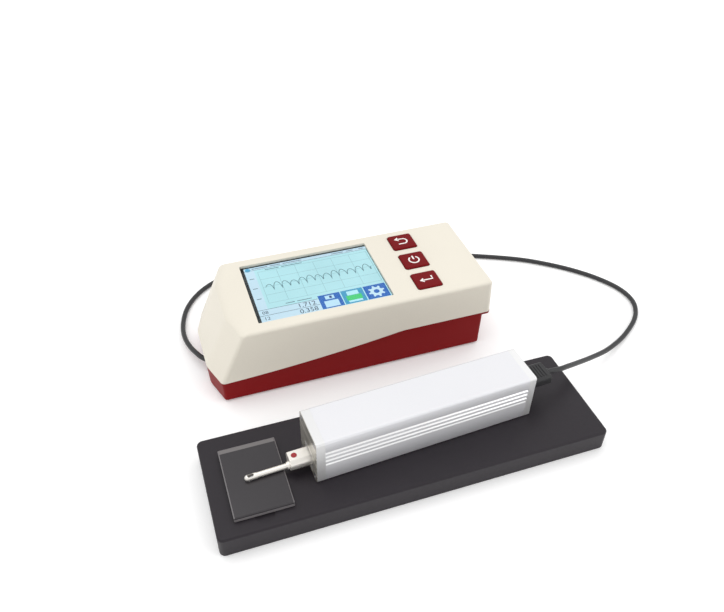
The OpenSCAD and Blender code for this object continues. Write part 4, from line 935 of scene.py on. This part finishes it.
# The drive's side grooves, in millimetres in its own frame: their middles, width, floor and depth, the rise of the
# lower wall, and how near a point lies to count as on one
GROOVES, GROOVE_W, GROOVE_FLOOR, GROOVE_DEPTH = (19.6, 16.9, 14.2, 11.5), 1.3, 10.6, 0.8
GROOVE_SLOPE, NEAR = 0.9, 0.05


class TESTER_OT_drive(bpy.types.Operator):
    """Finishes the drive: grooved housing, caps and cap screws"""
    bl_idname = "tester.drive"
    bl_label = "Drive"

    def execute(self, context):
        look = context.scene.tester_bench
        silver = tuple(look.silver)
        blasted = finish_material("blasted_aluminium", silver, tint=tuple(0.92 * c for c in silver), grain=2600.0,
                                  rough=0.52, spread=0.08, bump=0.08, depth=0.01, metallic=0.7)
        housing = softened_solid("drive_housing", "drive_extrusion", 0)
        # The lower wall of each side groove slopes out, and the groove faces get a painted highlight in near-white
        to_drive = DRIVE_PLACE.inverted()
        for vertex in housing.data.vertices:
            spot = (to_drive @ vertex.co) / MM
            low_wall = any(abs(spot.z - z + GROOVE_W / 2) < NEAR for z in GROOVES)
            if low_wall and abs(abs(spot.y) - GROOVE_FLOOR) < NEAR:
                vertex.co.z += GROOVE_SLOPE * MM
        smooth(housing)
        # Painted highlight: the faces inside the grooves are lightened to near-white, with a lower roughness, for the
        # sky reflected in them
        mask = housing.data.attributes.new("groove", "FLOAT", "FACE")
        spots = [(to_drive @ p.center) / MM for p in housing.data.polygons]
        mask.data.foreach_set("value", [float(GROOVE_FLOOR - NEAR < abs(p.y) < GROOVE_FLOOR + GROOVE_DEPTH
                                              and GROOVES[-1] - GROOVE_W < p.z < GROOVES[0] + GROOVE_W) for p in spots])
        painted_groove_highlight = add_node(blasted.node_tree, "ShaderNodeAttribute", attribute_name="groove")
        second_finish(blasted, painted_groove_highlight.outputs["Fac"], (*srgb(253, 253, 253), 1), 0.3)
        dress(housing, blasted, STILL, "drive_alu", "drive_housing")
        bright = finish_material("machined_aluminium", srgb(232, 232, 232), grain=1800.0, rough=0.4, spread=0.14,
                                 bump=0.1, depth=0.01, stretch=(1, 1, 0.1), metallic=0.65)
        # Painted shade: the front cap's own face is darker than its sides, with fine polishing marks across it
        along = DRIVE_PLACE.to_3x3().col[0]
        face = Vector(DRIVE_ORIGIN).dot(along)
        second_finish(bright, band_share(bright, along, face + 0.3, face + 0.2),
                      polish_marks_and_painted_shade(bright, srgb(158, 155, 146), srgb(226, 222, 212)), 0.34)
        steel = finish_material("screw_steel", srgb(176, 176, 180), grain=2200.0, rough=0.32, spread=0.15, bump=0.1,
                                metallic=1.0)
        for node, width, finish, slot in (
                ("drive_front_cap", 0.3, bright, "cap_alu"), ("drive_rear_cap", 0.3, bright, "cap_alu"),
                ("front_cap_screws", 0.12, steel, "steel"), ("rear_cap_screws", 0.12, steel, "steel")):
            dress(softened_solid(node, node + "_soft", width), finish, STILL, slot, node)
        return {"FINISHED"}


class TESTER_OT_pickup(bpy.types.Operator):
    """Finishes the pickup: body, mark and tube"""
    bl_idname = "tester.pickup"
    bl_label = "Pickup"

    def execute(self, context):
        warm = tuple(context.scene.tester_bench.pickup)
        satin = finish_material("pickup_satin", warm, tint=tuple(0.9 * c for c in warm), grain=2200.0, rough=0.32,
                                spread=0.14, bump=0.12, depth=0.01, stretch=(1, 0.15, 0.15), metallic=0.7)
        enamel = finish_material("mark_enamel", srgb(168, 20, 30), grain=1500.0, rough=0.25, spread=0.08, bump=0.05,
                                 coat_weight=0.4)
        for node, name, width, finish, slot in (
                ("pickup_body", "pickup_barrel", 0.18, satin, "pickup_steel"),
                ("pickup_tube", "pickup_nose_tube", 0.08, satin, "pickup_steel"),
                ("pickup_mark", "pickup_dot", 0.06, enamel, "mark_red")):
            dress(softened_solid(node, name, width), finish, CARRIAGE, slot, node)
        return {"FINISHED"}


def curve_through(points, parts):
    """Smooth line through points, each stretch divided into parts."""
    line = []
    last = len(points) - 1
    for i in range(last):
        a, b, c, d = (Vector(points[k]) for k in (max(i - 1, 0), i, i + 1, min(i + 2, last)))
        for k in range(parts):
            t = k / parts
            bend, twist = 2 * a - 5 * b + 4 * c - d, 3 * b - a - 3 * c + d
            line.append(0.5 * (2 * b + (c - a) * t + bend * t * t + twist * t ** 3))
    return line + [Vector(points[last])]


def rib_tree(material):
    """Soft grip ribs set along a line, over a plug."""
    tree, inside, outside, sockets = node_tree("Grip Ribs", [
        ("Count", "NodeSocketInt"), ("Pitch", "NodeSocketFloat"), ("Rib", "NodeSocketVector")])
    offset = add_node(tree, "ShaderNodeCombineXYZ")
    line = add_node(tree, "GeometryNodeMeshLine")
    bar = add_node(tree, "GeometryNodeMeshCube", **{"Vertices X": 3, "Vertices Y": 7, "Vertices Z": 3})
    soft = add_node(tree, "GeometryNodeSubdivisionSurface", Level=2)
    put = add_node(tree, "GeometryNodeInstanceOnPoints")
    wire(tree, (inside, "Pitch", offset, "X"), (inside, "Count", line, "Count"), (offset, 0, line, "Offset"),
         (inside, "Rib", bar, "Size"), (bar, "Mesh", soft, "Mesh"), (line, "Mesh", put, "Points"),
         (soft, "Mesh", put, "Instance"))
    end_tree(tree, put, "Instances", outside, material)
    return tree, sockets


# Grip ribs on both flat sides of each plug: count, pitch, size and height over the plug's middle, in millimetres
RIBS, RIB_PITCH, RIB_SIZE, RIB_Z = 5, 1.6, (0.8, 8.6, 0.7), 2.8
CABLE_SIDES, ROUTE_PARTS = 14, 6


class TESTER_OT_cable(bpy.types.Operator):
    """Builds the signal cable and finishes its two plugs"""
    bl_idname = "tester.cable"
    bl_label = "Cable"

    def execute(self, context):
        look = context.scene.tester_bench
        line = curve_through(CABLE_ROUTE, ROUTE_PARTS)
        rings = []
        for i, p in enumerate(line):
            ahead = heading(line, i)
            side = ahead.cross(Vector((0, 0, 1))).normalized()
            up = side.cross(ahead)
            rings.append([p + look.cable_d / 2 * (math.cos(a) * side + math.sin(a) * up) for a in turns(CABLE_SIDES)])
        cable = mesh_object("signal_cable_jacket", *ring_faces(rings))
        smooth(cable, 60)
        jacket = finish_material("cable_jacket", tuple(look.cable), grain=900.0, rough=0.45, spread=0.12, bump=0.15)
        dress(cable, jacket, STILL, "cable_black", "signal_cable")
        black = finish_material("plug_plastic", srgb(34, 34, 36), grain=1400.0, rough=0.5, spread=0.14, bump=0.2)
        plugs = [dress(softened_solid(node, node + "_shell", 0.4), black, STILL, "black_plastic", node)
                 for node in ("unit_plug", "drive_plug")]
        tree, sockets = rib_tree(black)
        for name, place, turn in (("unit_plug_ribs", unit_point(-57.0, -4.2, 6.9), math.pi),
                                  ("drive_plug_ribs", drive_point(121.0, 0, 14.6), DRIVE_TURN)):
            for ending, level in (("_low", -RIB_Z), ("_top", RIB_Z)):
                ribs = grown(name + ending, tree, sockets, {
                    "Count": RIBS, "Pitch": RIB_PITCH * MM, "Rib": Vector(RIB_SIZE) * MM})
                over = Matrix.Translation(place + Vector((0, 0, level * MM)))
                ribs.data.transform(over @ Matrix.Rotation(turn, 4, "Z"))
                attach(ribs, STILL)
                plugs.append(ribs)
        return {"FINISHED"}


# Solids that keep their own shape, with the finish that each one wears
INNER_FINISHES = {
    "inner_steel": (srgb(168, 169, 172), dict(grain=2000.0, rough=0.3, metallic=1.0, stretch=(0.1, 1, 1)),
                    ("guide_rods", "lead_screw", "motor_shaft", "gear_motor", "lever_pin", "stylus_lever",
                     "shell_screws", "board_screws", "charge_socket")),
    "inner_bronze": (srgb(176, 138, 84), dict(grain=1800.0, rough=0.35, metallic=1.0),
                     ("screw_bearings", "carriage_nut", "slide_bushes")),
    "milled_alloy": (srgb(160, 162, 166), dict(grain=1600.0, rough=0.4, metallic=0.9, stretch=(1, 0.2, 1)),
                     ("chassis", "motor_coupling")),
    "board_mask": (srgb(30, 96, 58), dict(grain=800.0, rough=0.35), ("drive_board", "main_board")),
    "moulded_black": (srgb(30, 30, 32), dict(grain=1400.0, rough=0.55),
                      ("limit_switches", "rear_socket", "carriage", "pickup_socket", "display_carrier", "key_switches",
                       "cable_socket")),
    "battery_sleeve": (srgb(40, 62, 110), dict(grain=900.0, rough=0.35), ("battery_pack",)),
    "foot_rubber": (srgb(26, 26, 26), dict(grain=1100.0, rough=0.75), ("unit_feet",)),
    "stylus_stone": (srgb(40, 40, 46), dict(grain=2500.0, rough=0.15), ("stylus_tip",)),
}


class TESTER_OT_inner_parts(bpy.types.Operator):
    """Gives the remaining solids their finishes"""
    bl_idname = "tester.inner_parts"
    bl_label = "Inner parts"

    def execute(self, context):
        for name, (base, values, nodes) in INNER_FINISHES.items():
            material = finish_material(name, base, **values)
            for node in nodes:
                paint(NODES[node].data, material)
        return {"FINISHED"}


CAMERA_PLACE = (-0.0999, -0.2638, 0.3014)
CAMERA_YAW, CAMERA_PITCH, CAMERA_ROLL = (math.radians(a) for a in (19.41, 40.66, 0.86))
FLOOR_HALF, FLOOR_Z, FLOOR_GLOW = 3.0, -0.00005, 0.14
# Lights: place and size in metres, and share of the key light's power
LIGHTS = {"key_light": ((-0.26, 0.18, 0.95), 0.8, 1.0), "fill_light": ((0.7, -0.5, 0.7), 0.7, 0.68),
          "sheen_light": ((0.55, 0.45, 0.7), 0.5, 0.2)}


class TESTER_OT_stage(bpy.types.Operator):
    """Sets up the camera, the floor and soft studio light"""
    bl_idname = "tester.stage"
    bl_label = "Stage"

    def execute(self, context):
        scene, look = context.scene, context.scene.tester_stage
        ahead = Vector((math.sin(CAMERA_YAW) * math.cos(CAMERA_PITCH), math.cos(CAMERA_YAW) * math.cos(CAMERA_PITCH),
                        -math.sin(CAMERA_PITCH)))
        level = Vector((math.cos(CAMERA_YAW), -math.sin(CAMERA_YAW), 0))
        over = level.cross(ahead)
        right = math.cos(CAMERA_ROLL) * level + math.sin(CAMERA_ROLL) * over
        up = math.cos(CAMERA_ROLL) * over - math.sin(CAMERA_ROLL) * level
        lens = bpy.data.cameras.new("camera")
        lens.lens, lens.sensor_width, lens.clip_start = look.lens, 36.0, 0.01
        camera = show(bpy.data.objects.new("camera", lens))
        camera.matrix_world = Matrix.Translation(CAMERA_PLACE) @ Matrix((right, up, -ahead)).transposed().to_4x4()
        scene.camera = camera

        corners = rectangle(2 * FLOOR_HALF, 2 * FLOOR_HALF)
        floor = mesh_object("floor", [(x, y, FLOOR_Z) for x, y in corners], [(0, 1, 2, 3)])
        paint(floor.data, finish_material(
            "floor_paper", tuple(look.floor), tint=tuple(0.99 * c for c in look.floor), grain=200.0, rough=0.8,
            spread=0.05, bump=0.02, emission_color=(1, 1, 1, 1), emission_strength=FLOOR_GLOW))

        world = bpy.data.worlds.new("studio")
        world.use_nodes = True
        sky = world.node_tree.nodes["Background"].inputs
        sky["Color"].default_value, sky["Strength"].default_value = (1, 1, 1, 1), look.sky
        scene.world = world
        for name, (place, size, share) in LIGHTS.items():
            lamp = bpy.data.lights.new(name, "AREA")
            lamp.size, lamp.energy = size, look.key_power * share
            light = show(bpy.data.objects.new(name, lamp))
            light.location = place
            light.rotation_mode = "QUATERNION"
            light.rotation_quaternion = (-Vector(place)).to_track_quat("-Z", "Y")
        scene.view_settings.view_transform = "Standard"
        return {"FINISHED"}


OPERATORS = (TESTER_OT_stage, TESTER_OT_cable, TESTER_OT_shells, TESTER_OT_keys, TESTER_OT_screen, TESTER_OT_plate,
             TESTER_OT_drive, TESTER_OT_pickup, TESTER_OT_inner_parts)


class TESTER_PT_panel(bpy.types.Panel):
    """Lists the tester's pieces and their settings"""
    bl_label = "Roughness Tester"
    bl_idname = "TESTER_PT_panel"
    bl_space_type = "VIEW_3D"
    bl_region_type = "UI"
    bl_category = "Tester"

    def draw(self, context):
        for operator in OPERATORS:
            self.layout.operator(operator.bl_idname)
        for name in SETTINGS:
            settings = getattr(context.scene, name)
            box = self.layout.box()
            for key in settings.__annotations__:
                box.prop(settings, key)


SETTINGS = {"tester_shell": ShellSettings, "tester_screen": ScreenSettings, "tester_bench": BenchSettings,
            "tester_stage": StageSettings}


def register():
    for kind in (*SETTINGS.values(), *OPERATORS, TESTER_PT_panel):
        bpy.utils.register_class(kind)
    for name, kind in SETTINGS.items():
        setattr(bpy.types.Scene, name, bpy.props.PointerProperty(type=kind))


def unregister():
    for name in SETTINGS:
        delattr(bpy.types.Scene, name)
    for kind in reversed((*SETTINGS.values(), *OPERATORS, TESTER_PT_panel)):
        bpy.utils.unregister_class(kind)


def main():
    register()
    for operator in OPERATORS:
        group, name = operator.bl_idname.split(".")
        getattr(getattr(bpy.ops, group), name)()


if __name__ == "__main__":
    main()
